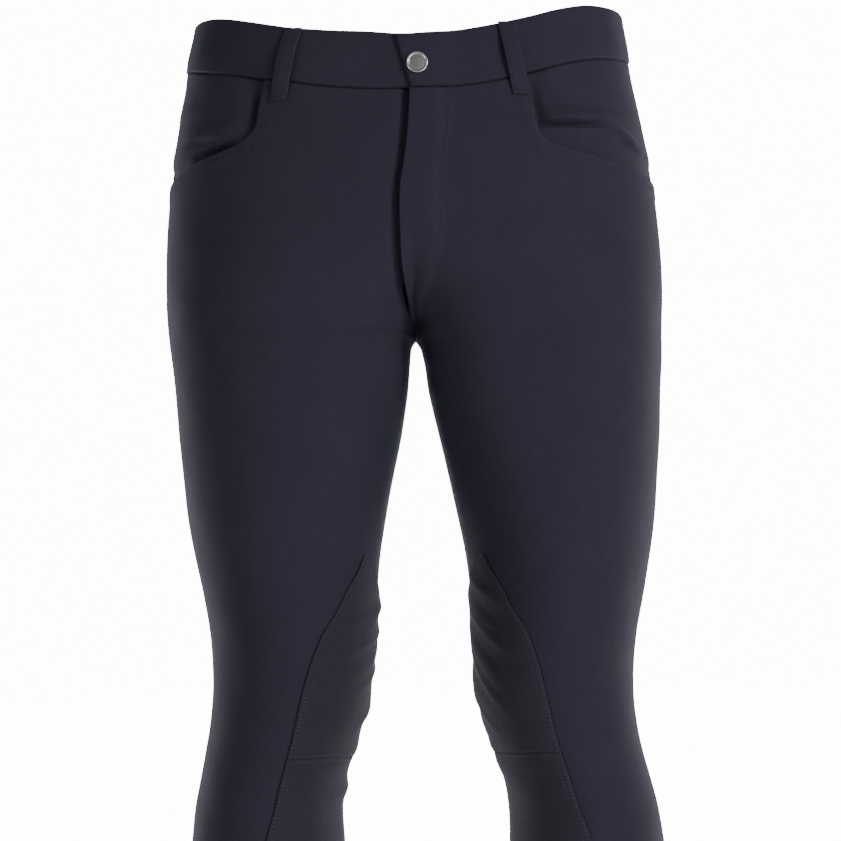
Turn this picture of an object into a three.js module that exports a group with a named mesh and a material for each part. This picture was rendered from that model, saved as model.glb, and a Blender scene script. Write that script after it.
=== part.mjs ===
// Riding breeches in their worn shape, hollow. Millimetres, +Z up. The front faces -Y and
// the garment's left is +X. The origin is the middle of the waist, just below the top edge of
// the centre front, where the breeches are held up.

import * as THREE from 'three';

// Driving sizes
const cloth = 1.5; // wall of the stretch cotton
const seamGap = 0.3; // space between two pieces at a seam
const crotchZ = -211; // where the four leg panels meet
const crotchCurve = 105; // height in which the crotch seam turns from lying to upright
const hemZ = -885;
const hemTurn = 20; // depth of the turned hem
const bandOut = 1.0; // outer skin of the waistband over the panels
const bandWall = 2.4;
const flyLift = 3.4; // how far the left front stands over the right one at the fly
const tabLift = 3.1; // the same for the waistband's tab
const facingDepth = 3.2; // the pocket facing passes this far behind the front panel
const patchGap = 0.76;
const patchWall = 1.1;
const loopWidth = 13;
const loopWall = 1.5;
const loopTopInset = 1; // a belt loop starts this far below the waist's edge
const loopFoot = 15; // and ends this far below the waistband
const snapRadius = 8;

// The outer form, a row for each height: the inner and outer edge of a leg from the middle
// line, the front and back of the oval, and how far the whole row leans to the garment's left
const sections = [
  { z: 50, inner: 0, outer: 158, front: -92, back: 94, lean: 3.6 },
  { z: 20, inner: 0, outer: 162, front: -95, back: 98, lean: 2.6 },
  { z: 0, inner: 0, outer: 166, front: -98, back: 103, lean: 1.5 },
  { z: -20, inner: 0, outer: 168.8, front: -100, back: 108, lean: 1.4 },
  { z: -40, inner: 0, outer: 173, front: -102, back: 113, lean: 1.4 },
  { z: -60, inner: 0, outer: 177, front: -103.5, back: 118, lean: 1.4 },
  { z: -100, inner: 0, outer: 183, front: -104, back: 123, lean: 1.7 },
  { z: -140, inner: 0, outer: 186.3, front: -102, back: 123, lean: 2 },
  { z: -180, inner: 0, outer: 187, front: -97.5, back: 118, lean: 1.9 },
  { z: -211, inner: 0, outer: 185.2, front: -93, back: 113, lean: 2 },
  { z: -230, inner: 5.6, outer: 183.8, front: -91.5, back: 108, lean: 2.8 },
  { z: -250, inner: 8.6, outer: 182.2, front: -90, back: 104, lean: 3 },
  { z: -280, inner: 13.9, outer: 180.4, front: -88, back: 98, lean: 3.3 },
  { z: -310, inner: 20, outer: 178.1, front: -86, back: 93, lean: 3.3 },
  { z: -340, inner: 25.9, outer: 175.4, front: -84.5, back: 88, lean: 3.3 },
  { z: -370, inner: 31.2, outer: 171, front: -82.5, back: 82, lean: 3.5 },
  { z: -400, inner: 34.6, outer: 165.2, front: -80, back: 76, lean: 3.5 },
  { z: -430, inner: 36.6, outer: 159.6, front: -78, back: 70, lean: 2.8 },
  { z: -460, inner: 39.2, outer: 156.9, front: -76, back: 64, lean: 1.6 },
  { z: -480, inner: 42, outer: 157, front: -75, back: 61, lean: 0.8 },
  { z: -500, inner: 47.6, outer: 159.1, front: -73, back: 60, lean: 0.5 },
  { z: -520, inner: 54.8, outer: 162.9, front: -69.5, back: 61, lean: 0.2 },
  { z: -540, inner: 60.8, outer: 167.5, front: -65.5, back: 65, lean: 0.5 },
  { z: -560, inner: 63.6, outer: 172, front: -62.5, back: 70, lean: 1 },
  { z: -580, inner: 63.8, outer: 175.2, front: -60, back: 75, lean: 1.4 },
  { z: -610, inner: 62.4, outer: 179, front: -57, back: 80, lean: 1.2 },
  { z: -640, inner: 62, outer: 180.6, front: -55, back: 82, lean: 0.8 },
  { z: -680, inner: 64.5, outer: 178.6, front: -52, back: 80, lean: 0.3 },
  { z: -720, inner: 70.5, outer: 172.6, front: -49, back: 73, lean: 0 },
  { z: -760, inner: 78, outer: 165, front: -45, back: 64, lean: 0 },
  { z: -800, inner: 84, outer: 159, front: -41, back: 56, lean: 0 },
  { z: -840, inner: 88, outer: 155.5, front: -38, back: 50, lean: 0 },
  { z: -885, inner: 90, outer: 154, front: -36, back: 47, lean: 0 },
];

// How square the ovals are, 2 being an ellipse: the inner half of a leg at its front and at
// its back, and the outer half
const squareness = [
  { z: 50, front: 2.45, back: 2.45, outer: 2.45 },
  { z: -100, front: 2.6, back: 2.7, outer: 2.45 },
  { z: -170, front: 2.8, back: 4, outer: 2.35 },
  { z: -211, front: 2.9, back: 4.2, outer: 2.3 },
  { z: -300, front: 2.5, back: 2.8, outer: 2.12 },
  { z: -390, front: 2, back: 2, outer: 2 },
  { z: -885, front: 2, back: 2, outer: 2 },
];

// The waistband's top edge and foot on each side, by degrees around from the centre front to
// the centre back
const waistEdges = [
  { around: 0, left: 3, right: 3.4, leftFoot: -36.2, rightFoot: -36.2 },
  { around: 10, left: 4.8, right: 6.5, leftFoot: -35.9, rightFoot: -35.5 },
  { around: 20, left: 9.3, right: 8.6, leftFoot: -32.1, rightFoot: -32.7 },
  { around: 30, left: 16, right: 12.5, leftFoot: -25.1, rightFoot: -27.4 },
  { around: 40, left: 23.5, right: 18.6, leftFoot: -17.6, rightFoot: -22 },
  { around: 50, left: 28.2, right: 24.2, leftFoot: -12.4, rightFoot: -17 },
  { around: 60, left: 29, right: 27.5, leftFoot: -10, rightFoot: -12.6 },
  { around: 75, left: 28.6, right: 28.3, leftFoot: -8, rightFoot: -7.5 },
  { around: 90, left: 29, right: 29, leftFoot: -6, rightFoot: -5 },
  { around: 135, left: 32, right: 32, leftFoot: -5.5, rightFoot: -5.5 },
  { around: 180, left: 33, right: 33, leftFoot: -7, rightFoot: -7 },
];

// The free edge of the left front over the fly, and the rounded line of its facing
const flyEdge = [
  { z: -34, x: 1, facing: 34 },
  { z: -62, x: -1, facing: 31 },
  { z: -85, x: -4, facing: 27 },
  { z: -110, x: -8.5, facing: 24.5 },
  { z: -150, x: -9.5, facing: 22 },
  { z: -170, x: -8.5, facing: 16 },
  { z: -190, x: -5, facing: 8 },
  { z: -211, x: 0, facing: 4 },
];
const flyOpenZ = -165; // the fly can be opened down to here
const flyClosedZ = -182; // the two fronts meet edge to edge below this
const flyEndZ = -207; // and they lie level below this
const flyFlat = 0.55; // share of the facing over which the left front stands off evenly
const underlap = 12; // the right front reaches this far under the left one
const tabEdge = { top: -9, foot: 1.5 }; // the waistband tab's free edge, from the middle line
const bandUnderlap = 12;
const tabSlope = { from: 16, to: 38 }; // the tab comes down to the band's level between these

// The front pockets' edges, from the waist seam to the side seam
const scoops = {
  left: [
    { x: 87, z: -26 },
    { x: 90, z: -43 },
    { x: 92.8, z: -61 },
    { x: 95.4, z: -71 },
    { x: 102, z: -77 },
    { x: 120, z: -82.4 },
    { x: 142, z: -88 },
    { x: 165, z: -92.8 },
    { x: 183.6, z: -102 },
  ],
  right: [
    { x: 105.4, z: -24.8 },
    { x: 109, z: -42 },
    { x: 112, z: -58 },
    { x: 119, z: -68 },
    { x: 135, z: -74.5 },
    { x: 158, z: -80.5 },
    { x: 174, z: -87 },
    { x: 183.2, z: -95 },
  ],
};
const facingHidden = 2.5; // the facing stays deep until this far past the pocket's edge
const facingRise = 18; // and comes up level over this distance
const facingEase = 8; // and its folds over this one
const facingInside = 14; // the facing starts this far towards the middle from the pocket's top
const facingFoot = { inner: -96, outer: -118 }; // height of its lower edge, hidden behind the front

// Soft fulness and hollows of the worn cloth: a face, a share of the way from the middle or
// inner leg seam to the side seam, a height, a size each way and a height over the form
const swells = [
  { face: 'back', at: 0.42, z: -130, wide: 0.24, tall: 62, out: 8 },
  { face: 'back', at: 0, z: -140, wide: 0.12, tall: 50, out: -3.5 },
  { face: 'back', at: 0.45, z: -226, wide: 0.3, tall: 16, out: -2.5 },
  { face: 'front', at: 0.5, z: -452, wide: 0.2, tall: 34, out: 3.5 },
  { face: 'back', at: 0.5, z: -484, wide: 0.26, tall: 34, out: -4 },
  { face: 'back', at: 0.5, z: -620, wide: 0.26, tall: 60, out: 4 },
];

// Main folds as soft ridges, by degrees around a leg from its inner seam, the front positive
const folds = [
  { side: 'left', from: 10, z: -385, to: 36, toZ: -406, half: 6, out: 1.3 },
  { side: 'left', from: 2, z: -404, to: 46, toZ: -430, half: 7, out: 1.5 },
  { side: 'left', from: 0, z: -428, to: 54, toZ: -474, half: 8, out: 2 },
  { side: 'left', from: -28, z: -446, to: 26, toZ: -486, half: 8, out: 1.6 },
  { side: 'left', from: -50, z: -470, to: 6, toZ: -505, half: 9, out: 1.8 },
  { side: 'left', from: -24, z: -520, to: 30, toZ: -536, half: 8, out: 1.4 },
  { side: 'right', from: 2, z: -408, to: 30, toZ: -431, half: 6, out: 1.4 },
  { side: 'right', from: -8, z: -436, to: 40, toZ: -462, half: 8, out: 1.6 },
  { side: 'right', from: -40, z: -458, to: 14, toZ: -492, half: 8, out: 1.6 },
  { side: 'right', from: -22, z: -508, to: 28, toZ: -522, half: 8, out: 2.2 },
  { side: 'left', from: -130, z: -470, to: -66, toZ: -484, half: 8, out: 1.8 },
  { side: 'left', from: -120, z: -500, to: -60, toZ: -492, half: 8, out: 1.6 },
  { side: 'right', from: -132, z: -466, to: -70, toZ: -488, half: 8, out: 1.8 },
  { side: 'right', from: -116, z: -504, to: -58, toZ: -496, half: 8, out: 1.6 },
];

const ridgeEnds = 0.35; // height of a ridge at its two ends, as a share of its middle

// Folds of the pocket facings, by distance from the middle line
const facingFolds = [
  { side: 'right', x: 128, z: -61, toX: 176, toZ: -65, half: 7, out: 3.6 },
  { side: 'right', x: 122, z: -20, toX: 166, toZ: -34, half: 9, out: 1.4 },
  { side: 'left', x: 104, z: -55, toX: 142, toZ: -54, half: 7, out: 3.6 },
  { side: 'left', x: 142, z: -54, toX: 172, toZ: -74, half: 7, out: 3 },
];

// The suede patch of the inner knee and calf, its back and front edge at each height
const patchEdges = [
  { z: -373, back: 32.5, front: 35.5 },
  { z: -385, back: 20, front: 40.5 },
  { z: -398, back: 5, front: 48.5 },
  { z: -413, back: -14, front: 56.5 },
  { z: -429, back: -32, front: 67 },
  { z: -446, back: -46, front: 74 },
  { z: -465, back: -56, front: 78.5 },
  { z: -484, back: -60, front: 80.5 },
  { z: -520, back: -63, front: 80 },
  { z: -555, back: -63, front: 82 },
  { z: -585, back: -62, front: 89 },
  { z: -620, back: -62, front: 92 },
  { z: -660, back: -60, front: 92 },
  { z: -700, back: -56, front: 88 },
  { z: -730, back: -50, front: 80 },
  { z: -744, back: -42, front: 72 },
  { z: -752, back: -32, front: 61 },
];
const patchSeamZ = -520; // the cross seam between the upper and the lower piece
const patchReach = 104; // no patch edge lies further around the leg, in degrees

// Belt loops by degrees around the waist, the garment's right negative
const beltLoops = [
  { name: 'belt_loop_front_left', top: 24.8, foot: 27 },
  { name: 'belt_loop_front_right', top: -28.9, foot: -31.4 },
  { name: 'belt_loop_back_left', top: 127, foot: 126 },
  { name: 'belt_loop_back_right', top: -127, foot: -126 },
  { name: 'belt_loop_back_centre', top: 180, foot: 180 },
];
// How far a loop stands off the form along its length
const loopStand = [
  { share: 0, out: 1.5 },
  { share: 0.12, out: 1.8 },
  { share: 0.28, out: 3.6 },
  { share: 0.46, out: 4.2 },
  { share: 0.62, out: 3.9 },
  { share: 0.74, out: 2.8 },
  { share: 0.84, out: 1.2 },
  { share: 0.92, out: 0.6 },
  { share: 1, out: 0.6 },
];

const snapPlace = { x: 6.7, z: -19 };

// Spacing of the grid rows down a leg
const legSteps = [
  { toZ: -373, step: 32.4 },
  { toZ: -520, step: 11.3 },
  { toZ: -545, step: 12.5 },
  { toZ: -730, step: 30.8 },
  { toZ: -752, step: 8 },
  { toZ: hemZ + hemTurn, step: 36 },
  { toZ: hemZ, step: 20 },
];
const trunkRows = 12;
const crotchCrowding = 0.5; // 0 spaces the trunk's rows evenly, 1 crowds them near the crotch
const fanPower = 2.5; // the trunk's columns start straight down, so none crosses a pocket's edge
const frontColumns = 14;
const backColumns = 12;
const scoopColumn = 7; // the grid column that starts at the pocket's top
const quarterLength = 240; // cloth from the centre front to a side seam, about
const columnSpread = 1.2; // above 1 the columns crowd towards the fly and the inner leg seam

// Looks of the plain source model
const clothMaterial = { color: 0x2c2b36, roughness: 0.85, metalness: 0 };
const patchMaterial = { color: 0x252528, roughness: 0.95, metalness: 0 };
const metalMaterial = { color: 0xb9bcc2, roughness: 0.3, metalness: 1 };

const group = new THREE.Group();
group.name = 'riding_breeches';

const radians = THREE.MathUtils.degToRad;
const mix = THREE.MathUtils.lerp;
const clamp = THREE.MathUtils.clamp;
const smooth = THREE.MathUtils.smoothstep;

// A smooth curve through one column of a table, whose rows are in order of key
function curve(rows, key, column) {
  const keys = rows.map((row) => row[key]);
  const values = rows.map((row) => row[column]);
  const falling = keys[0] > keys[keys.length - 1];
  const last = keys.length - 1;
  const slopes = values.map((value, i) => {
    const before = Math.max(i - 1, 0);
    const after = Math.min(i + 1, last);
    return (values[after] - values[before]) / (keys[after] - keys[before]);
  });
  return (at) => {
    let i = 0;
    while (i < last - 1 && (falling ? at < keys[i + 1] : at > keys[i + 1])) i += 1;
    const span = keys[i + 1] - keys[i];
    const s = clamp((at - keys[i]) / span, 0, 1);
    const rise = s * s * (3 - 2 * s);
    const bend = s * (1 - s) * ((1 - s) * slopes[i] - s * slopes[i + 1]) * span;
    return mix(values[i], values[i + 1], rise) + bend;
  };
}

const innerAt = curve(sections, 'z', 'inner');
const outerAt = curve(sections, 'z', 'outer');
const frontAt = curve(sections, 'z', 'front');
const backAt = curve(sections, 'z', 'back');
const leanAt = curve(sections, 'z', 'lean');
const innerSquareAt = {
  front: curve(squareness, 'z', 'front'),
  back: curve(squareness, 'z', 'back'),
};
const outerSquareAt = curve(squareness, 'z', 'outer');
const waistTopAt = {
  left: curve(waistEdges, 'around', 'left'),
  right: curve(waistEdges, 'around', 'right'),
};
const waistFootAt = {
  left: curve(waistEdges, 'around', 'leftFoot'),
  right: curve(waistEdges, 'around', 'rightFoot'),
};
const flyEdgeAt = curve(flyEdge, 'z', 'x');
const flyFacingAt = curve(flyEdge, 'z', 'facing');
const patchBackAt = curve(patchEdges, 'z', 'back');
const patchFrontAt = curve(patchEdges, 'z', 'front');
const scoopXAt = {
  left: curve(scoops.left, 'z', 'x'),
  right: curve(scoops.right, 'z', 'x'),
};
const scoopZAt = {
  left: curve(scoops.left, 'x', 'z'),
  right: curve(scoops.right, 'x', 'z'),
};

// Half of the garment at one height is part of an oval: below the crotch a whole one, the
// leg, and above it one that the middle plane cuts, from the turn `start` to the side seam.
// Its front and back half differ in how square they are
function oval(face, z) {
  const outer = outerAt(z);
  const front = frontAt(z);
  const back = backAt(z);
  const square = { inner: innerSquareAt[face](z), outer: outerSquareAt(z) };
  const form = { depth: (back - front) / 2, y: (back + front) / 2, square };
  if (z <= crotchZ) {
    const half = (outer - innerAt(z)) / 2;
    return { ...form, middle: outer - half, half, start: 0 };
  }
  const cut = 1 - smooth(z, crotchZ, crotchZ + crotchCurve);
  const half = outer / (1 + cut);
  return { ...form, middle: outer - half, half, start: ovalTurn(cut, square.inner) };
}

// The turn at which an oval's side lies this share of its half width towards the inside
function ovalTurn(share, square) {
  return Math.atan2((1 - Math.abs(share) ** square) ** (1 / square), share);
}

// The share t runs from the middle or inner leg seam, 0, to the side seam, 1
function formPoint(face, t, z) {
  const o = oval(face, z);
  const turn = mix(o.start, Math.PI, t);
  const square = turn < Math.PI / 2 ? o.square.inner : o.square.outer;
  const [across, forward] = [Math.cos(turn), Math.sin(turn)];
  const reach = (Math.abs(across) ** square + Math.abs(forward) ** square) ** (-1 / square);
  const way = face === 'front' ? -1 : 1;
  return new THREE.Vector3(
    o.middle - o.half * across * reach,
    o.y + way * o.depth * forward * reach,
    z,
  );
}

function formNormal(face, t, z) {
  const small = 0.004;
  const before = Math.max(t - small, 0);
  const after = Math.min(t + small, 1);
  const along = formPoint(face, after, z).sub(formPoint(face, before, z));
  const up = formPoint(face, t, z + 1).sub(formPoint(face, t, z - 1));
  const normal = along.cross(up).normalize();
  return face === 'front' ? normal : normal.negate();
}

// The share of a front at a distance from the middle line
function shareAtX(x, z) {
  const o = oval('front', z);
  const share = clamp((o.middle - Math.abs(x)) / o.half, -1, 1);
  const turn = ovalTurn(share, share > 0 ? o.square.inner : o.square.outer);
  return (Math.sign(x) * (turn - o.start)) / (Math.PI - o.start);
}

// Height of a soft ridge at a distance across and down from the middle of its line
function ridge(across, down, toAcross, toDown, half, out) {
  const length = Math.hypot(toAcross, toDown);
  const s = clamp((across * toAcross + down * toDown) / (length * length), 0, 1);
  const distance = Math.hypot(across - s * toAcross, down - s * toDown);
  const taper = mix(ridgeEnds, 1, Math.sin(Math.PI * s));
  return out * taper * Math.exp(-((distance / half) ** 2));
}

function relief(side, face, t, z) {
  const o = oval(face, z);
  let height = 0;
  for (const swell of swells) {
    if (swell.face !== face) continue;
    const across = (t - swell.at) / swell.wide;
    const down = (z - swell.z) / swell.tall;
    height += swell.out * Math.exp(-across * across - down * down);
  }
  const turn = THREE.MathUtils.radToDeg(mix(o.start, Math.PI, t)) * (face === 'front' ? 1 : -1);
  const perDegree = radians(1) * (o.half + o.depth) / 2;
  for (const fold of folds) {
    if (fold.side !== side) continue;
    const across = (turn - fold.from) * perDegree;
    const toAcross = (fold.to - fold.from) * perDegree;
    height += ridge(across, z - fold.z, toAcross, fold.toZ - fold.z, fold.half, fold.out);
  }
  return height;
}

// A point of the cloth's outer skin, moved out by `out`. A negative share lies past the
// middle line, on the other half of the trunk
function skin(side, face, t, z, out) {
  const share = Math.abs(t);
  const point = formPoint(face, share, z);
  const normal = formNormal(face, share, z);
  point.addScaledVector(normal, relief(side, face, share, z) + out);
  if (t >= 0) point.x = Math.max(point.x, seamGap / 2);
  const sign = (side === 'left' ? 1 : -1) * (t < 0 ? -1 : 1);
  point.x = sign * point.x + leanAt(z);
  return point;
}

// The share that half a seam gap takes
function inset(face, z) {
  const o = oval(face, z);
  return seamGap / ((Math.PI - o.start) * (o.half + o.depth));
}

// A closed wall over a grid of places, each giving its outer and inner skin
function wall(columns, rows, place) {
  const skins = [[], []];
  for (let j = 0; j <= rows; j += 1) {
    for (let i = 0; i <= columns; i += 1) {
      const { outer, inner } = place(i, j);
      skins[0].push(outer);
      skins[1].push(inner);
    }
  }
  const stride = columns + 1;
  const count = stride * (rows + 1);
  const indices = [];
  const points = [...skins[0], ...skins[1]];
  const triangle = (a, b, c) => {
    const [p, q, r] = [points[a], points[b], points[c]];
    if (!p.equals(q) && !q.equals(r) && !r.equals(p)) indices.push(a, b, c);
  };
  const quad = (a, b, c, d) => {
    triangle(a, b, c);
    triangle(a, c, d);
  };
  for (let j = 0; j < rows; j += 1) {
    for (let i = 0; i < columns; i += 1) {
      const a = j * stride + i;
      quad(a, a + 1, a + 1 + stride, a + stride);
      quad(count + a, count + a + stride, count + a + 1 + stride, count + a + 1);
    }
  }
  for (let i = 0; i < columns; i += 1) {
    const foot = rows * stride + i;
    quad(i, count + i, count + i + 1, i + 1);
    quad(foot, foot + 1, count + foot + 1, count + foot);
  }
  for (let j = 0; j < rows; j += 1) {
    const start = j * stride;
    const end = start + columns;
    quad(start, start + stride, count + start + stride, count + start);
    quad(end, count + end, count + end + stride, end + stride);
  }
  return solid(points, indices);
}

// A closed geometry whose faces point out
function solid(points, indices) {
  let volume = 0;
  for (let k = 0; k < indices.length; k += 3) {
    const [a, b, c] = [points[indices[k]], points[indices[k + 1]], points[indices[k + 2]]];
    volume += a.dot(b.clone().cross(c));
  }
  if (volume < 0) indices.reverse();
  const geometry = new THREE.BufferGeometry().setFromPoints(points);
  geometry.setIndex(indices);
  geometry.computeVertexNormals();
  return geometry;
}

function add(name, geometry, look) {
  const mesh = new THREE.Mesh(geometry, new THREE.MeshStandardMaterial(look));
  mesh.name = name;
  group.add(mesh);
  return mesh;
}

// Heights of the grid rows from the crotch to the hem
function legHeights() {
  const heights = [crotchZ];
  for (const stretch of legSteps) {
    const from = heights[heights.length - 1];
    const count = Math.round((from - stretch.toZ) / stretch.step);
    for (let k = 1; k <= count; k += 1) heights.push(mix(from, stretch.toZ, k / count));
  }
  return heights;
}

const panelLegRows = legHeights();

function waistSeamZ(side, face, t) {
  const around = face === 'front' ? 90 * t : 180 - 90 * t;
  return waistFootAt[side](Math.abs(around)) - seamGap;
}

// The top edge of a front panel: the waist seam, then the pocket's edge
function frontTop(side, column) {
  const scoop = scoops[side];
  if (column <= scoopColumn) {
    const from = frontStart(side, waistSeamZ(side, 'front', 0));
    const along = (column / scoopColumn) ** columnSpread;
    const t = mix(from, shareAtX(scoop[0].x, scoop[0].z), along);
    return { t, z: waistSeamZ(side, 'front', t) };
  }
  const points = scoop.map(({ x, z }) => new THREE.Vector3(shareAtX(x, z) * quarterLength, 0, z));
  const line = new THREE.CatmullRomCurve3(points);
  const along = (column - scoopColumn) / (frontColumns - scoopColumn);
  const { x, z } = line.getPointAt(along);
  return { t: along === 1 ? 1 : x / quarterLength, z };
}

// The left front crosses the middle line to the fly's edge, and the right front runs on
// below it
function frontStart(side, z) {
  if (z <= crotchZ) return inset('front', z);
  const edge = flyEdgeAt(z);
  const gap = edge < 0 ? 0 : inset('front', z);
  if (side === 'left') return shareAtX(edge, z) + gap;
  const under = underlap * smooth(z, flyClosedZ, flyOpenZ);
  return shareAtX(seamGap - edge - under, z);
}

// How far the fly stands over the form: high at its edge, gone past its facing
function flyOut(side, t, z) {
  if (side !== 'left' || z <= crotchZ) return 0;
  const x = Math.sign(t) * formPoint('front', Math.abs(t), z).x;
  const facing = flyFacingAt(z);
  const across = 1 - smooth(x, facing * flyFlat, facing);
  const down = smooth(z, flyEndZ, flyClosedZ);
  return flyLift * across * down;
}

// A panel's columns run from its middle edge, 0, to its side seam, 1
function columnShares(columns) {
  return Array.from({ length: columns + 1 }, (_, i) => (i / columns) ** columnSpread);
}

function panelSpan(side, face, z) {
  const gap = inset(face, z);
  return { start: face === 'front' ? frontStart(side, z) : gap, end: 1 - gap };
}

function panel(side, face) {
  const columns = face === 'front' ? frontColumns : backColumns;
  const rows = trunkRows + panelLegRows.length - 1;
  const shares = columnShares(columns);
  return wall(columns, rows, (i, j) => {
    let share = shares[i];
    let z = panelLegRows[Math.max(j - trunkRows, 0)];
    if (j < trunkRows) {
      const along = j / trunkRows;
      const down = mix(along, Math.sin((Math.PI / 2) * along), crotchCrowding);
      const straight = { t: share, z: waistSeamZ(side, 'back', share) };
      const top = face === 'front' ? frontTop(side, i) : straight;
      const span = panelSpan(side, face, top.z);
      const topShare = clamp((top.t - span.start) / (span.end - span.start), 0, 1);
      share = mix(topShare, share, down ** fanPower);
      z = mix(top.z, crotchZ, down);
    }
    const { start, end } = panelSpan(side, face, z);
    const t = mix(start, end, share);
    const out = face === 'front' ? flyOut(side, t, z) : 0;
    const turned = z < hemZ + hemTurn - 1 ? 2 : 1;
    return {
      outer: skin(side, face, t, z, out),
      inner: skin(side, face, t, z, out - cloth * turned),
    };
  });
}

// The facing passes behind the pocket's edge, comes up level and is folded where it shows
function facingOut(side, t, z) {
  const { x } = formPoint('front', t, z);
  const across = x - scoopXAt[side](z) - facingHidden;
  const up = z - scoopZAt[side](x) - facingHidden;
  const ease = smooth(across, 0, facingEase) * smooth(up, 0, facingEase);
  const rise = smooth(across, 0, facingRise) * smooth(up, 0, facingRise);
  let height = 0;
  for (const fold of facingFolds) {
    if (fold.side !== side) continue;
    const toX = fold.toX - fold.x;
    height += ridge(x - fold.x, z - fold.z, toX, fold.toZ - fold.z, fold.half, fold.out);
  }
  return height * ease - facingDepth * (1 - rise);
}

function pocketFacing(side) {
  const columns = 12;
  const rows = 12;
  const top = scoops[side][0];
  const from = shareAtX(top.x - facingInside, top.z);
  return wall(columns, rows, (i, j) => {
    const across = mix(from, 1, i / columns);
    const foot = mix(facingFoot.inner, facingFoot.outer, i / columns);
    const z = mix(waistSeamZ(side, 'front', across), foot, j / rows);
    const t = Math.min(across, 1 - inset('front', z));
    const out = facingOut(side, t, z);
    return {
      outer: skin(side, 'front', t, z, out),
      inner: skin(side, 'front', t, z, out - cloth),
    };
  });
}

// A place on the waistband by degrees around from the centre front
function aroundPlace(around) {
  const degrees = Math.abs(around);
  if (degrees <= 90) return { face: 'front', t: around / 90 };
  return { face: 'back', t: (180 - degrees) / 90 };
}

function waistband(side) {
  const columns = 26;
  const rows = 2;
  return wall(columns, rows, (i, j) => {
    const share = j / rows;
    const edge = mix(tabEdge.foot, tabEdge.top, share);
    const startX = side === 'left' ? edge : -bandUnderlap;
    const start = Math.asin(startX / outerAt(0));
    const end = Math.PI - seamGap / 2 / outerAt(0);
    const around = THREE.MathUtils.radToDeg(mix(start, end, i / columns));
    const degrees = Math.abs(around);
    const z = mix(waistFootAt[side](degrees), waistTopAt[side](degrees), share);
    const { face, t } = aroundPlace(around);
    const x = Math.sin(radians(around)) * outerAt(0);
    const slope = 1 - smooth(x, tabSlope.from, tabSlope.to);
    const lift = side === 'left' && around < 90 ? tabLift * slope : 0;
    const out = bandOut + lift;
    return {
      outer: skin(side, face, t, z, out),
      inner: skin(side, face, t, z, out - bandWall),
    };
  });
}

function beltLoop(loop) {
  const side = loop.top < 0 ? 'right' : 'left';
  return wall(1, loopStand.length - 1, (i, j) => {
    const { share, out } = loopStand[j];
    const around = Math.abs(mix(loop.top, loop.foot, share));
    const top = waistTopAt[side](around) - loopTopInset;
    const z = mix(top, waistFootAt[side](around) - loopFoot, share);
    const { face, t } = aroundPlace(around);
    const near = aroundPlace(around - 1);
    const centre = skin(side, face, t, z, 0);
    const outward = skin(side, face, t, z, 1).sub(centre);
    const sideways = centre.clone().sub(skin(side, near.face, near.t, z, 0)).setZ(0).normalize();
    const inner = centre.addScaledVector(sideways, (i - 0.5) * loopWidth);
    inner.addScaledVector(outward, out);
    return { outer: inner.clone().addScaledVector(outward, loopWall), inner };
  });
}

// Degrees around a leg of the panels' grid columns that a patch can reach
const patchTurns = [
  ...columnShares(backColumns).map((share) => -180 * share).reverse(),
  ...columnShares(frontColumns).slice(1).map((share) => 180 * share),
].filter((turn) => Math.abs(turn) < patchReach);

// One piece of a knee patch between two heights, lying on the leg's panels: it has their
// grid, and its outer columns close up on its edges
function kneePatch(side, topZ, footZ) {
  const heights = [topZ, ...panelLegRows.filter((z) => z < topZ && z > footZ), footZ];
  return wall(patchTurns.length - 1, heights.length - 1, (i, j) => {
    const z = heights[j];
    const turn = clamp(patchTurns[i], patchBackAt(z), patchFrontAt(z));
    const face = turn >= 0 ? 'front' : 'back';
    const t = Math.abs(turn) / 180;
    return {
      outer: skin(side, face, t, z, patchGap + patchWall),
      inner: skin(side, face, t, z, patchGap),
    };
  });
}

// The press stud on the waistband's tab: a domed cap with a raised rim
function snap() {
  const profile = [
    new THREE.Vector2(0, 0),
    new THREE.Vector2(snapRadius * 0.9, 0),
    new THREE.Vector2(snapRadius, 0.7),
    new THREE.Vector2(snapRadius, 1.5),
    new THREE.Vector2(snapRadius * 0.93, 2.2),
    new THREE.Vector2(snapRadius * 0.82, 2.3),
    new THREE.Vector2(snapRadius * 0.74, 1.7),
    new THREE.Vector2(snapRadius * 0.5, 1.9),
    new THREE.Vector2(0, 2.1),
  ];
  const mesh = add('snap_cap', new THREE.LatheGeometry(profile, 28), metalMaterial);
  const t = shareAtX(snapPlace.x, snapPlace.z);
  const seat = bandOut + tabLift;
  const under = skin('left', 'front', t, snapPlace.z, seat);
  const outward = skin('left', 'front', t, snapPlace.z, seat + 1).sub(under);
  mesh.position.copy(under).addScaledVector(outward, seamGap);
  mesh.quaternion.setFromUnitVectors(new THREE.Vector3(0, 1, 0), outward);
}

for (const side of ['left', 'right']) {
  add(`front_${side}`, panel(side, 'front'), clothMaterial);
  add(`back_${side}`, panel(side, 'back'), clothMaterial);
  add(`pocket_facing_${side}`, pocketFacing(side), clothMaterial);
  add(`waistband_${side}`, waistband(side), clothMaterial);
  const top = patchEdges[0].z;
  const foot = patchEdges[patchEdges.length - 1].z;
  add(`knee_patch_upper_${side}`, kneePatch(side, top, patchSeamZ), patchMaterial);
  add(`knee_patch_lower_${side}`, kneePatch(side, patchSeamZ - seamGap, foot), patchMaterial);
}
for (const loop of beltLoops) add(loop.name, beltLoop(loop), clothMaterial);
snap();

export default group;
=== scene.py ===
"""Riding breeches in stretch cotton with suede knee patches, worn shape, hollow.

The shapes are worked out in millimetres, in the part's frame: +Z up, the front towards -Y,
the garment's left at +X, the origin just below the waist's top edge at the centre front.
"""

import math

import bpy
import numpy as np
from mathutils import Matrix, Vector

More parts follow.
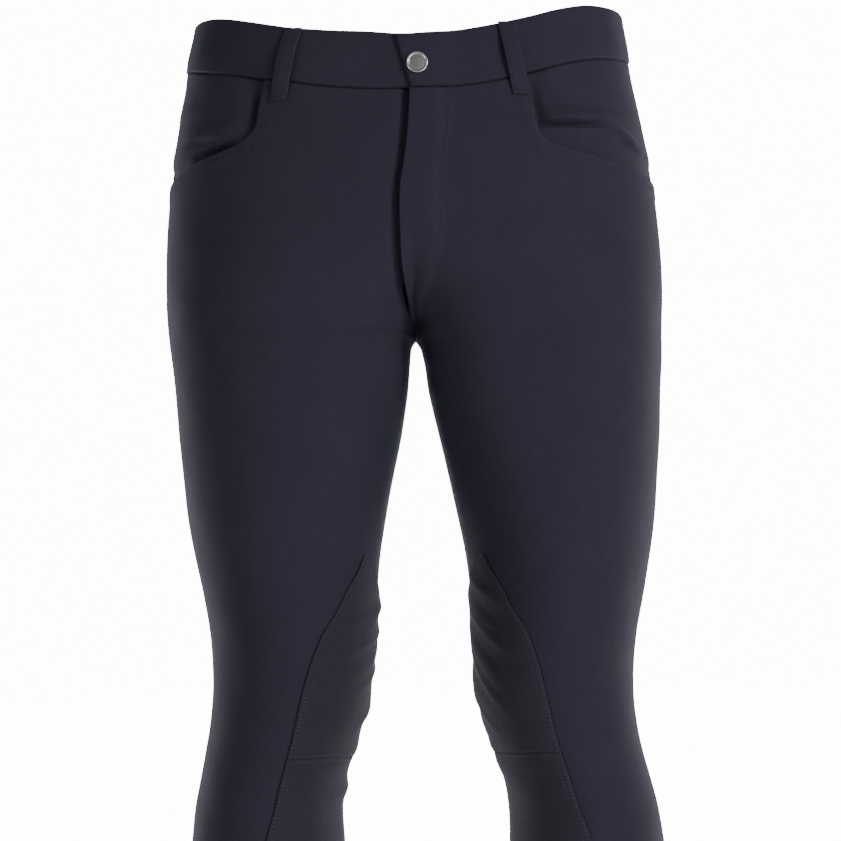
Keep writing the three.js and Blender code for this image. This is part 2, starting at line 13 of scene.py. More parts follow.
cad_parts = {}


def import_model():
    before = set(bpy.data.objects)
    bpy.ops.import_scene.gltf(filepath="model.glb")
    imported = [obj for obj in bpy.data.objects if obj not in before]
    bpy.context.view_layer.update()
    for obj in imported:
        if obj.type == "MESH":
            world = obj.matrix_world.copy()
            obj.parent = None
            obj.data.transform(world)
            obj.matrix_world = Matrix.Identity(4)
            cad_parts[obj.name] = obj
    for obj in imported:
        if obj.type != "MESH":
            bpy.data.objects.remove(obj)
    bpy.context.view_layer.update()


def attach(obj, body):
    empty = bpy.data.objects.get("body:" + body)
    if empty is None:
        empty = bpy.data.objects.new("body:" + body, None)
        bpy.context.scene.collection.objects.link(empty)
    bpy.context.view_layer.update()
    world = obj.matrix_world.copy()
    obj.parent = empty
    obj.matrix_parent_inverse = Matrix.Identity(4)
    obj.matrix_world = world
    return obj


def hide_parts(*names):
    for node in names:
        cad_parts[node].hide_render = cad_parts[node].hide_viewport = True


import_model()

MM = 0.001  # a millimetre in Blender's metres

# The photograph's camera
IMAGE = 841  # pixels each way
FOCAL = 3200  # in pixels
SENSOR = 36  # mm
CAMERA_AT = (0, -2.4, -0.436)
CAMERA_PITCH = 3.92  # degrees up
CAMERA_ROLL = -1.45  # degrees, clockwise negative
MIDDLE_X = 415  # pixel column of the view's axis

FLOOR_Z = -0.975
ROOM_LIGHT = 0.2  # the white room as it lights the cloth
BACKDROP_LIGHT = 14.0  # the same as the camera sees it, burnt out as in the photograph

# Driving sizes of the part
CLOTH = 1.5
WAIST_OVERLAP = 1.5  # the panels run this far up behind the waistband
CROTCH_Z = -211
CROTCH_CURVE = 105
SADDLE = {"rise": 6, "from": 0, "full": 95, "wide": 30, "tall": 26}  # towards the seat
HEM_Z = -885
HEM_TURN = 20
BAND_TALL = 39  # about
BAND_LONG = 270  # each half, about
BAND_OUT = 1.0
BAND_WALL = 2.4
FLY_LIFT = 3.4
TAB_LIFT = 3.1
FACING_DEPTH = 3.0
PATCH_GAP = 0.76
PATCH_WALL = 1.1
LOOP_WIDTH = 13
LOOP_WALL = 1.5
LOOP_TOP_INSET = 1
LOOP_FOOT = 15
SNAP_RADIUS = 8
SNAP_PLACE = {"x": 6.7, "z": -19}


def table(names, *rows):
    """Rows of numbers as one array for each named column."""
    return {name: np.array(column, float) for name, column in zip(names.split(), zip(*rows))}


# The outer form at each height: a leg's inner and outer edge from the middle line, the front
# and back of its oval, and how far the whole row leans to the garment's left
SECTIONS = table(
    "z inner outer front back lean",
    (50, 0, 158, -92, 94, 3.6),
    (20, 0, 162, -95, 98, 2.6),
    (0, 0, 166, -98, 103, 1.5),
    (-20, 0, 168.8, -100, 108, 1.4),
    (-40, 0, 173, -102, 113, 1.4),
    (-60, 0, 177, -103.5, 118, 1.4),
    (-100, 0, 183, -104, 123, 1.7),
    (-140, 0, 186.3, -102, 123, 2),
    (-180, 0, 187, -97.5, 118, 1.9),
    (-211, 0, 185.2, -93, 113, 2),
    (-215, 3.4, 184.9, -92.7, 112, 2.2),
    (-230, 6.2, 183.8, -91.5, 108, 2.8),
    (-250, 8.6, 182.2, -90, 104, 3),
    (-280, 13.9, 180.4, -88, 98, 3.3),
    (-310, 20, 178.1, -86, 93, 3.3),
    (-340, 25.9, 175.4, -84.5, 88, 3.3),
    (-370, 31.2, 171, -82.5, 82, 3.5),
    (-400, 34.6, 165.2, -80, 76, 3.5),
    (-430, 36.6, 159.6, -78, 70, 2.8),
    (-460, 39.2, 156.9, -76, 64, 1.6),
    (-480, 42, 157, -75, 61, 0.8),
    (-500, 47.6, 159.1, -73, 60, 0.5),
    (-520, 54.8, 162.9, -69.5, 61, 0.2),
    (-540, 60.8, 167.5, -65.5, 65, 0.5),
    (-560, 63.6, 172, -62.5, 70, 1),
    (-580, 63.8, 175.2, -60, 75, 1.4),
    (-610, 62.4, 179, -57, 80, 1.2),
    (-640, 62, 180.6, -55, 82, 0.8),
    (-680, 64.5, 178.6, -52, 80, 0.3),
    (-720, 70.5, 172.6, -49, 73, 0),
    (-760, 78, 165, -45, 64, 0),
    (-800, 84, 159, -41, 56, 0),
    (-840, 88, 155.5, -38, 50, 0),
    (-885, 90, 154, -36, 47, 0),
)

# How square the ovals are, 2 being an ellipse: the inner half of a leg at its front and at
# its back, and the outer half
SQUARENESS = table(
    "z front back outer",
    (50, 2.45, 2.45, 2.45),
    (-100, 2.6, 2.7, 2.45),
    (-170, 2.8, 4, 2.35),
    (-211, 2.9, 4.2, 2.3),
    (-300, 2.5, 2.8, 2.12),
    (-390, 2, 2, 2),
    (-885, 2, 2, 2),
)

# The waistband's top edge and foot on each side, by degrees around from the centre front to
# the centre back
WAIST_EDGES = table(
    "around left right left_foot right_foot",
    (0, 3, 3.4, -36.2, -36.2),
    (10, 4.8, 6.5, -35.9, -35.5),
    (20, 9.3, 8.6, -32.1, -32.7),
    (30, 16, 12.5, -25.1, -27.4),
    (40, 23.5, 18.6, -17.6, -22),
    (50, 28.2, 24.2, -12.4, -17),
    (60, 29, 27.5, -10, -12.6),
    (75, 28.6, 28.3, -8, -7.5),
    (90, 29, 29, -6, -5),
    (135, 32, 32, -5.5, -5.5),
    (180, 33, 33, -7, -7),
)

# The left front's free edge over the fly, and the rounded line of its facing
FLY_EDGE = table(
    "z x facing",
    (-34, 1, 34), (-62, -1, 31), (-85, -4, 27), (-110, -8.5, 24.5),
    (-150, -9.5, 22), (-170, -8.5, 16), (-190, -5, 8), (-211, 0, 4),
)
FLY_OPEN_Z = -165
FLY_CLOSED_Z = -182
FLY_END_Z = -207
FLY_FLAT = 0.55
UNDERLAP = 12
TAB_EDGE = {"top": -9, "foot": 1.5}
BAND_UNDERLAP = 12
TAB_SLOPE = {"from": 16, "to": 38}

# The front pockets' edges, from the waist seam to the side seam
SCOOPS = {
    "left": table(
        "x z",
        (87, -26), (90, -43), (92.8, -61), (95.4, -71), (102, -77),
        (120, -82.4), (142, -88), (165, -92.8), (183.6, -102),
    ),
    "right": table(
        "x z",
        (105.4, -24.8), (109, -42), (112, -58), (119, -68),
        (135, -74.5), (158, -80.5), (174, -87), (183.2, -95),
    ),
}
FACING_HIDDEN = 2.5
FACING_RISE = 18
FACING_EASE = 8
FACING_INSIDE = 14
FACING_FOOT = {"inner": -96, "outer": -118}

# Soft fulness and hollows: a share of the way from the middle or inner leg seam to the side
# seam, a height, a size each way and a height over the form
SWELLS = {
    "back": table(
        "at z wide tall out",
        (0.42, -130, 0.24, 62, 8),
        (0, -140, 0.12, 50, -3.5),
        (0.45, -226, 0.3, 16, -2.5),
        (0.5, -484, 0.26, 34, -4),
        (0.5, -620, 0.26, 60, 4),
    ),
    "front": table("at z wide tall out", (0.5, -452, 0.2, 34, 3.5)),
}

# Main folds as ridges, by degrees around a leg from its inner seam, the front positive
FOLDS = {
    "left": table(
        "turn z to_turn to_z half out",
        (10, -385, 36, -406, 6, 1.3),
        (2, -404, 46, -430, 7, 1.5),
        (0, -428, 54, -474, 8, 2),
        (-28, -446, 26, -486, 8, 1.6),
        (-50, -470, 6, -505, 9, 1.8),
        (-24, -520, 30, -536, 8, 1.4),
        (-130, -470, -66, -484, 8, 1.8),
        (-120, -500, -60, -492, 8, 1.6),
    ),
    "right": table(
        "turn z to_turn to_z half out",
        (2, -408, 30, -431, 6, 1.4),
        (-8, -436, 40, -462, 8, 1.6),
        (-40, -458, 14, -492, 8, 1.6),
        (-22, -508, 28, -522, 8, 2.2),
        (-132, -466, -70, -488, 8, 1.8),
        (-116, -504, -58, -496, 8, 1.6),
    ),
}
RIDGE_ENDS = 0.35

# Finer creases, which only these pieces have
CREASES = {
    "left": table(
        "turn z to_turn to_z half out",
        (20, -392, 58, -418, 2.8, 1.5),
        (18, -404, 58, -434, 3, -0.8),
        (12, -416, 62, -452, 3, 1.7),
        (10, -428, 54, -464, 3, -0.8),
        (4, -442, 48, -490, 3, 1.6),
        (-14, -462, 30, -506, 3.2, 1.3),
        (-16, -506, 20, -524, 4, 1.2),
        (70, -452, 120, -468, 4, 0.5),
        (-100, -478, -40, -470, 3.4, 0.8),
        (-150, -486, -96, -498, 3.6, 0.8),
        (20, -226, 62, -246, 7, 0.9),
        (18, -246, 58, -280, 7, 0.7),
        (-20, -224, -74, -240, 6, 1.2),
        (-24, -240, -92, -268, 7, 0.9),
        (60, -610, 96, -640, 5, 0.5),
        (-60, -560, -120, -580, 5, 0.6),
        (-150, -820, -60, -832, 6, 0.8),
        (-140, -846, -80, -852, 5, 0.7),
        (20, -838, 80, -850, 5, 0.7),
    ),
    "right": table(
        "turn z to_turn to_z half out",
        (-22, -402, 46, -424, 3.4, 1.5),
        (-26, -420, 52, -446, 3.6, 1.7),
        (-24, -446, 36, -474, 3.4, 1.5),
        (-24, -474, 22, -500, 3.4, 1.3),
        (-34, -538, 26, -548, 7, 2.8),
        (76, -446, 124, -460, 4, 0.5),
        (-98, -474, -44, -468, 3.4, 0.8),
        (-152, -490, -100, -500, 3.6, 0.8),
        (24, -228, 60, -250, 7, 0.9),
        (22, -250, 52, -286, 7, 0.6),
        (-18, -226, -70, -238, 6, 1.2),
        (-26, -242, -96, -272, 7, 0.9),
        (66, -600, 100, -628, 5, 0.5),
        (-56, -566, -116, -588, 5, 0.6),
        (-148, -824, -66, -830, 6, 0.8),
        (-136, -850, -76, -846, 5, 0.7),
        (26, -844, 84, -852, 5, 0.7),
    ),
}

# Folds of the pocket facings, by distance from the middle line, each with a softness above
# and below its line
FACING_FOLDS = {
    "left": table(
        "x z to_x to_z above below out",
        (92, -60.4, 138, -59.4, 8, 1.3, 5),
        (138, -59.4, 172, -79, 6, 2.2, 4.2),
        (116, -49, 164, -50, 3, 3, -1),
        (126, -65, 124, -79, 2.2, 2.2, 1.4),
        (128, -30, 160, -26, 8, 8, 0.7),
    ),
    "right": table(
        "x z to_x to_z above below out",
        (122, -64.5, 160, -61.5, 8, 3.4, 3),
        (158, -62, 176, -76, 6, 4, 2.6),
        (126, -69.6, 163, -71.6, 3, 1.2, 2.4),
        (122, -20, 166, -34, 9, 9, 1.4),
        (140, -44, 176, -40, 5, 5, 0.8),
    ),
}
# Where a pocket gapes below its facing's folds
GAPES = {
    "left": table(
        "x z to_x to_z half out",
        (93, -63.2, 141, -62.2, 1.7, -7),
        (141, -62.2, 160, -72, 1.8, -2.6),
        (98, -68, 140, -71, 6, -2.6),
        (90.5, -33, 95, -64, 3.2, -3),
    ),
    "right": table(
        "x z to_x to_z half out",
        (130, -72.2, 158, -77, 3.8, -11),
        (109.5, -34, 113, -62, 3.5, -4.5),
    ),
}

# The suede patch of the inner knee and calf, its back and front edge in degrees
PATCH_EDGES = table(
    "z back front",
    (-373, 32.5, 35.5),
    (-385, 20, 40.5),
    (-398, 5, 48.5),
    (-413, -14, 56.5),
    (-429, -32, 67),
    (-446, -46, 74),
    (-465, -56, 78.5),
    (-484, -60, 80.5),
    (-520, -63, 80),
    (-555, -63, 82),
    (-585, -62, 89),
    (-620, -62, 92),
    (-660, -60, 92),
    (-700, -56, 88),
    (-730, -50, 80),
    (-744, -42, 72),
    (-752, -32, 61),
)
PATCH_TOP_Z = -373
PATCH_SEAM_Z = -520
PATCH_FOOT_Z = -752
COVER_STITCH_Z = -475  # the bars of the cover stitch show below this

BELT_LOOPS = [
    {"name": "front_left", "top": 24.8, "foot": 27},
    {"name": "front_right", "top": -28.9, "foot": -31.4},
    {"name": "back_left", "top": 127, "foot": 126},
    {"name": "back_right", "top": -127, "foot": -126},
    {"name": "back_centre", "top": 180, "foot": 180},
]
LOOP_STAND = table(
    "share out",
    (0, 1.5), (0.12, 1.8), (0.28, 3.6), (0.46, 4.2), (0.62, 3.9),
    (0.74, 2.8), (0.84, 1.2), (0.92, 0.6), (1, 0.6),
)

# Sewing
STITCH = {"pitch": 3.1, "long": 2.3, "thick": 0.42}
FINE_STITCH = {"pitch": 2.4, "long": 1.8, "thick": 0.36}
SEAM_ROLL = {"deep": 0.9, "wide": 1.7}
WAIST_GROOVE = {"deep": 2.4, "wide": 0.7}
BAND_ROLL = {"wide": 0.9, "deep": 0.8, "foot_wide": 0.5, "foot_deep": 2.4}
SEAM_ALLOWANCE = {"wide": 11, "thick": 0.9}  # turned back on the inside of each panel
POCKET_HEM = {"wide": 8.6, "high": 0.5, "edge": 0.7}
WELT = {"high": 0.22, "inside": 6, "wide": 4}  # allowances showing through beside a back's seams
HEM_STEP = 0.45
HEM_EASE = 0.8
HEM_FOLD = {"deep": 0.35, "wide": 1.2}
FLY_STITCH_INSIDE = 3.0
FLY_RIDGE = {"high": 0.8, "wide": 1.8, "from": -175, "full": -120}  # beside its stitch row
FLY_HOLLOW = {"deep": 3.4, "wide": 6.5}  # of the right front beside the left one's edge
QUARTER = 240  # cloth from the centre front to a side seam, about


def mix(a, b, share):
    return a + (b - a) * share


def smooth(x, low, high):
    s = np.clip((x - low) / (high - low), 0, 1)
    return s * s * (3 - 2 * s)


def bell(x, wide):
    return np.exp(-((x / wide) ** 2))


def curve(rows, key, column):
    """A smooth curve through one column of a table, whose rows are in order of key."""
    keys, values = rows[key], rows[column]
    last = len(keys) - 1
    before = np.maximum(np.arange(last + 1) - 1, 0)
    after = np.minimum(np.arange(last + 1) + 1, last)
    slopes = (values[after] - values[before]) / (keys[after] - keys[before])
    way = 1 if keys[-1] > keys[0] else -1

    def at(where):
        where = np.asarray(where, float)
        i = np.clip(np.searchsorted(way * keys, way * where, side="right") - 1, 0, last - 1)
        span = keys[i + 1] - keys[i]
        s = np.clip((where - keys[i]) / span, 0, 1)
        bend = s * (1 - s) * ((1 - s) * slopes[i] - s * slopes[i + 1]) * span
        return mix(values[i], values[i + 1], s * s * (3 - 2 * s)) + bend

    return at


inner_at = curve(SECTIONS, "z", "inner")
outer_at = curve(SECTIONS, "z", "outer")
front_at = curve(SECTIONS, "z", "front")
back_at = curve(SECTIONS, "z", "back")
lean_at = curve(SECTIONS, "z", "lean")
inner_square_at = {face: curve(SQUARENESS, "z", face) for face in ("front", "back")}
outer_square_at = curve(SQUARENESS, "z", "outer")
waist_top_at = {side: curve(WAIST_EDGES, "around", side) for side in ("left", "right")}
waist_foot_at = {side: curve(WAIST_EDGES, "around", f"{side}_foot") for side in ("left", "right")}
fly_edge_at = curve(FLY_EDGE, "z", "x")
fly_facing_at = curve(FLY_EDGE, "z", "facing")
patch_back_at = curve(PATCH_EDGES, "z", "back")
patch_front_at = curve(PATCH_EDGES, "z", "front")
scoop_x_at = {side: curve(rows, "z", "x") for side, rows in SCOOPS.items()}
scoop_z_at = {side: curve(rows, "x", "z") for side, rows in SCOOPS.items()}


def oval_turn(share, square):
    """The turn at which an oval's side lies this share of its half width inside."""
    return np.arctan2((1 - np.abs(share) ** square) ** (1 / square), share)


def oval(z, face="front"):
    """The oval of one leg, or above the crotch of half the trunk, at each height.

    Its front and back half differ above the knee in how square they are.
    """
    z = np.asarray(z, float)
    outer, front, back = outer_at(z), front_at(z), back_at(z)
    square = inner_square_at[face](z)
    cut = np.where(z <= CROTCH_Z, 1, 1 - smooth(z, CROTCH_Z, CROTCH_Z + CROTCH_CURVE))
    half = np.where(z <= CROTCH_Z, (outer - inner_at(z)) / 2, outer / (1 + cut))
    start = np.where(z <= CROTCH_Z, 0, oval_turn(cut, square))
    return {
        "middle": outer - half,
        "half": half,
        "depth": (back - front) / 2,
        "y": (back + front) / 2,
        "start": start,
        "inner": square,
        "outer": outer_square_at(z),
    }


def form_point(face, t, z):
    """The share t runs from the middle or inner leg seam, 0, to the side seam, 1."""
    t, z = np.broadcast_arrays(np.asarray(t, float), np.asarray(z, float))
    o = oval(z, face)
    turn = mix(o["start"], math.pi, t)
    square = np.where(turn < math.pi / 2, o["inner"], o["outer"])
    across, forward = np.cos(turn), np.abs(np.sin(turn))
    reach = (np.abs(across) ** square + forward**square) ** (-1 / square)
    way = -1 if face == "front" else 1
    x = o["middle"] - o["half"] * across * reach
    y = o["y"] + way * o["depth"] * forward * reach
    return np.stack([x, y, z], axis=-1)


def unit(v):
    return v / np.maximum(np.linalg.norm(v, axis=-1, keepdims=True), 1e-9)


def form_normal(face, t, z):
    small = 0.004
    after = form_point(face, np.minimum(t + small, 1), z)
    along = after - form_point(face, np.maximum(t - small, 0), z)
    up = form_point(face, t, z + 1) - form_point(face, t, z - 1)
    normal = unit(np.cross(along, up))
    return normal if face == "front" else -normal


def share_at_x(x, z):
    o = oval(z)
    share = np.clip((o["middle"] - np.abs(x)) / o["half"], -1, 1)
    turn = oval_turn(share, np.where(share > 0, o["inner"], o["outer"]))
    return np.sign(x) * (turn - o["start"]) / (math.pi - o["start"])


def ridge(across, down, to_across, to_down, half, out):
    """Height of a soft ridge at a distance across and down from the start of its line."""
    length = np.hypot(to_across, to_down)
    s = np.clip((across * to_across + down * to_down) / (length * length), 0, 1)
    distance = np.hypot(across - s * to_across, down - s * to_down)
    taper = mix(RIDGE_ENDS, 1, np.sin(math.pi * s))
    return out * taper * bell(distance, half)


def rows_of(rows):
    """The rows of a table as dictionaries."""
    return [dict(zip(rows, values)) for values in zip(*rows.values())]


def drift(x, y, z):
    """Slow unevenness of worn cloth, in millimetres."""
    return (
        0.55 * np.sin(x / 31 + 1.3) * np.sin(z / 47 + 0.4)
        + 0.4 * np.sin(x / 19 - z / 38 + 2.1) * np.sin(y / 33 + 0.7)
        + 0.22 * np.sin(x / 11 + z / 17 + 0.9) * np.sin(z / 29 - y / 14)
    )


def relief(side, face, t, z):
    """Fulness, folds and creases over the form."""
    o = oval(z, face)
    height = np.zeros(np.broadcast(t, z).shape)
    for swell in rows_of(SWELLS[face]):
        across = (t - swell["at"]) / swell["wide"]
        down = (z - swell["z"]) / swell["tall"]
        height += swell["out"] * np.exp(-across * across - down * down)
    turn = np.degrees(mix(o["start"], math.pi, t)) * (1 if face == "front" else -1)
    degree = per_degree(z, face)
    for fold in rows_of(FOLDS[side]) + rows_of(CREASES[side]):
        across = (turn - fold["turn"]) * degree
        to_across = (fold["to_turn"] - fold["turn"]) * degree
        to_down = fold["to_z"] - fold["z"]
        height += ridge(across, z - fold["z"], to_across, to_down, fold["half"], fold["out"])
    point = form_point(face, t, z)
    sign = 1 if side == "left" else -1
    return height + drift(sign * point[..., 0], point[..., 1], point[..., 2])


def skin(side, face, t, z, out=0.0):
    """Points of the cloth's outer skin, moved out. A negative share lies past the middle."""
    t, z, out = np.broadcast_arrays(*(np.asarray(v, float) for v in (t, z, out)))
    share = np.abs(t)
    point = form_point(face, share, z)
    height = relief(side, face, share, z) + out
    point = point + form_normal(face, share, z) * height[..., None]
    x = np.where(t >= 0, np.maximum(point[..., 0], 0), -point[..., 0])
    rise = SADDLE["rise"] * smooth(point[..., 1], SADDLE["from"], SADDLE["full"])
    rise *= bell(x, SADDLE["wide"]) * bell(z - CROTCH_Z, SADDLE["tall"])
    x = (1 if side == "left" else -1) * x + lean_at(z)
    return np.stack([x, point[..., 1], point[..., 2] + rise], axis=-1)


def per_degree(z, face="front"):
    """Cloth along one degree of a leg's oval, about."""
    o = oval(z, face)
    return math.radians(1) * (o["half"] + o["depth"]) / 2


def girth(z, face="front"):
    """Cloth from the inner or middle seam to the side seam, about."""
    return np.degrees(math.pi - oval(z, face)["start"]) * per_degree(z, face)


def waist_seam_z(side, face, t):
    around = 90 * t if face == "front" else 180 - 90 * t
    return waist_foot_at[side](np.abs(around))


def panel_start(side, face, z):
    """The share at which a panel begins: its seam, or its free edge at the fly."""
    z = np.asarray(z, float)
    if face == "back":
        return np.zeros(z.shape)
    edge = fly_edge_at(z)
    if side == "right":
        edge = -edge - UNDERLAP * smooth(z, FLY_CLOSED_Z, FLY_OPEN_Z)
    return np.where(z <= CROTCH_Z, 0, share_at_x(edge, z))


def fly_out(side, t, z):
    """How far the fly stands over the form: high at its edge, gone past its facing."""
    if side != "left":
        return np.zeros(np.broadcast(t, z).shape)
    x = np.sign(t) * form_point("front", np.abs(t), z)[..., 0]
    facing = fly_facing_at(z)
    across = 1 - smooth(x, facing * FLY_FLAT, facing)
    down = smooth(z, FLY_END_Z, FLY_CLOSED_Z)
    ridge_line = bell(x - facing + FLY_STITCH_INSIDE, FLY_RIDGE["wide"])
    ridge_line *= FLY_RIDGE["high"] * smooth(z, FLY_RIDGE["from"], FLY_RIDGE["full"])
    return np.where(z <= CROTCH_Z, 0, FLY_LIFT * across * down + ridge_line)


def scoop_line(side, count):
    """Shares and heights along a pocket's edge, evenly spaced."""
    rows = SCOOPS[side]
    across = share_at_x(rows["x"], rows["z"]) * QUARTER
    length = np.concatenate([[0], np.cumsum(np.hypot(np.diff(across), np.diff(rows["z"])))])
    path = {"length": length, "across": across, "z": rows["z"]}
    fine = np.linspace(0, length[-1], 40 * len(length))
    across, z = curve(path, "length", "across")(fine), curve(path, "length", "z")(fine)
    travelled = np.concatenate([[0], np.cumsum(np.hypot(np.diff(across), np.diff(z)))])
    even = np.linspace(0, travelled[-1], count)
    return np.interp(even, travelled, across) / QUARTER, np.interp(even, travelled, z)


def scoop_distance(side, t, z):
    """Distance from a pocket's edge, along the cloth."""
    line_t, line_z = scoop_line(side, 160)
    across = (t[..., None] - line_t) * QUARTER
    return np.sqrt(np.min(across**2 + (z[..., None] - line_z) ** 2, axis=-1))


materials = {}


def mesh_object(name, points, faces, material, wear=None):
    """A smooth mesh from points in millimetres."""
    mesh = bpy.data.meshes.new(name)
    mesh.from_pydata((points * MM).tolist(), [], faces)
    mesh.polygons.foreach_set("use_smooth", [True] * len(mesh.polygons))
    mesh.materials.append(materials[material])
    if wear is not None:
        layer = mesh.attributes.new("wear", "FLOAT", "POINT")
        layer.data.foreach_set("value", wear.astype(np.float32))
    mesh.update()
    piece = bpy.data.objects.new(name, mesh)
    bpy.context.scene.collection.objects.link(piece)
    return piece


def wall(name, outer, inner, material, wear=None):
    """A closed wall between two skins, each a grid of rows and columns of points."""
    rows, columns = outer.shape[:2]
    count = rows * columns
    index = np.arange(count).reshape(rows, columns)

    def quads(a, b, c, d):
        return np.stack([a.ravel(), b.ravel(), c.ravel(), d.ravel()], axis=1)

    a, b, c, d = index[:-1, :-1], index[:-1, 1:], index[1:, 1:], index[1:, :-1]
    top, foot, start, end = index[0], index[-1], index[:, 0], index[:, -1]
    faces = np.concatenate([
        quads(a, d, c, b),
        quads(a + count, b + count, c + count, d + count),
        quads(top[:-1], top[1:], top[1:] + count, top[:-1] + count),
        quads(foot[1:], foot[:-1], foot[:-1] + count, foot[1:] + count),
        quads(start[1:], start[:-1], start[:-1] + count, start[1:] + count),
        quads(end[:-1], end[1:], end[1:] + count, end[:-1] + count),
    ])
    points = np.concatenate([outer.reshape(-1, 3), inner.reshape(-1, 3)])
    p, q, r = (points[faces[: len(a.ravel()), k]] for k in range(3))
    outward = np.cross(q - p, r - p) * (outer - inner)[:-1, :-1].reshape(-1, 3)
    if outward.sum() < 0:
        faces = faces[:, ::-1]
    shade = None if wear is None else np.concatenate([wear.ravel(), wear.ravel()])
    return mesh_object(name, points, faces.tolist(), material, shade)


def edge_shares(count, edge=(0.004, 0.009, 0.015, 0.023, 0.033)):
    """Shares from 0 to 1 that crowd at both ends, where seams roll in."""
    inside = np.linspace(edge[-1], 1 - edge[-1], count - 2 * len(edge))[1:-1]
    edge = np.array(edge)
    return np.concatenate([[0], edge, inside, 1 - edge[::-1], [1]])


# Heights of the rows of a leg from the crotch down
LEG_ROWS = np.concatenate([
    np.linspace(CROTCH_Z, -862, 252),
    np.array([-863.5, -864.5, -865.3, -866, -867, -868.5, -871, -874, -877, -880, -882.5]),
    np.array([-884, -884.8, HEM_Z]),
])
TRUNK_ROWS = 84
TRUNK_CROWDING = 1.6  # above 1 the rows crowd at the waist seam and the pocket's edge
FAN = {"top": -104, "power": 1.5}  # above this height the columns run straight down
LEAST_STEP = 0.0002  # between the shares of two columns
SCOOP_SHARE = 0.5  # share of a front's columns that end along its waist seam


def top_edge(side, face, shares):
    """Shares and heights of a panel's upper edge: the waist seam, then the pocket's edge."""
    if face == "back":
        return shares, waist_seam_z(side, "back", shares) + WAIST_OVERLAP
    scoop_t, scoop_z = scoop_line(side, 400)
    start = float(panel_start(side, "front", waist_seam_z(side, "front", 0.0)))
    along = np.clip(shares / SCOOP_SHARE, 0, 1)
    t = mix(start, scoop_t[0], along)
    z = waist_seam_z(side, "front", t) + WAIST_OVERLAP
    down = np.clip((shares - SCOOP_SHARE) / (1 - SCOOP_SHARE), 0, 1) * (len(scoop_t) - 1)
    count = np.arange(len(scoop_t))
    on_scoop = shares > SCOOP_SHARE
    t = np.where(on_scoop, np.interp(down, count, scoop_t), t)
    z = np.where(on_scoop, np.interp(down, count, scoop_z), z)
    return t, z


def waist_groove(side, face, t, z):
    """How far the cloth is drawn in along the waist seam."""
    below = np.maximum(waist_seam_z(side, face, t) - z, 0)
    return WAIST_GROOVE["deep"] * bell(below, WAIST_GROOVE["wide"])


def panel_detail(side, face, t, z, start):
    """Seam rolls, turned hems and welts of a panel, and the wear along them."""
    from_start = (t - start) * girth(z, face)
    from_end = (1 - t) * girth(z, face)
    seam = 1 - smooth(z, FLY_END_Z, FLY_CLOSED_Z) if face == "front" else 1.0
    roll = bell(from_end, SEAM_ROLL["wide"]) + seam * bell(from_start, SEAM_ROLL["wide"])
    height = -SEAM_ROLL["deep"] * roll - waist_groove(side, face, t, z)
    up = z - HEM_Z
    height += HEM_STEP * smooth(-up, -HEM_TURN - HEM_EASE, -HEM_TURN + HEM_EASE)
    height -= HEM_FOLD["deep"] * bell(up, HEM_FOLD["wide"])
    wear = 0.5 * bell(from_end - 2.4, 1.4) + 0.5 * bell(up - 1.5, 1.5)
    if face == "back":
        for inside in (from_end, from_start):
            height += WELT["high"] * bell(inside - WELT["inside"], WELT["wide"])
    else:
        near = scoop_distance(side, t, z)
        inside = 1 - smooth(near, POCKET_HEM["wide"] - 0.6, POCKET_HEM["wide"] + 1.2)
        height += POCKET_HEM["high"] * inside - POCKET_HEM["edge"] * bell(near, 0.8)
        wear = wear + 0.8 * bell(near - 1.4, 1.2)
    return height, np.clip(wear, 0, 1)


def beside_fly(t, z):
    """The right front sinks a little beside and under the left one's edge."""
    x = np.sign(t) * form_point("front", np.abs(t), z)[..., 0]
    past = np.maximum(x + fly_edge_at(z), 0)
    depth = FLY_HOLLOW["deep"] * bell(past, FLY_HOLLOW["wide"])
    return -depth * smooth(z, FLY_END_Z, FLY_CLOSED_Z)


def panel(side, face):
    shares = edge_shares(96 if face == "front" else 88)
    top_t, top_z = top_edge(side, face, shares)
    start = panel_start(side, face, top_z)
    steps = np.arange(len(shares)) * LEAST_STEP
    top_share = np.maximum.accumulate((top_t - start) / (1 - start) - steps) + steps
    down = (np.arange(TRUNK_ROWS) / TRUNK_ROWS) ** TRUNK_CROWDING
    trunk_z = mix(top_z[None, :], CROTCH_Z, down[:, None])
    fan = np.clip((FAN["top"] - trunk_z) / (FAN["top"] - CROTCH_Z), 0, 1) ** FAN["power"]
    trunk_share = mix(np.clip(top_share, 0, 1)[None, :], shares[None, :], fan)
    leg_z = np.repeat(LEG_ROWS[:, None], len(shares), axis=1)
    leg_share = np.repeat(shares[None, :], len(LEG_ROWS), axis=0)
    z = np.concatenate([trunk_z, leg_z])
    share = np.concatenate([trunk_share, leg_share])
    start = panel_start(side, face, z)
    t = mix(start, 1, share)
    out, wear = panel_detail(side, face, t, z, start)
    if face == "front":
        out = out + (fly_out(side, t, z) if side == "left" else beside_fly(t, z))
    turned = np.where(z < HEM_Z + HEM_TURN - 1, 2.0, 1.0)
    from_seam = np.minimum(1 - t, t - start if face == "back" else 1) * girth(z, face)
    allowance = 1 - smooth(from_seam, SEAM_ALLOWANCE["wide"], SEAM_ALLOWANCE["wide"] + 2)
    outer = skin(side, face, t, z, out)
    inner = skin(side, face, t, z, out - CLOTH * turned - SEAM_ALLOWANCE["thick"] * allowance)
    return wall(f"{face}_{side}_cloth", outer, inner, "cloth", wear)


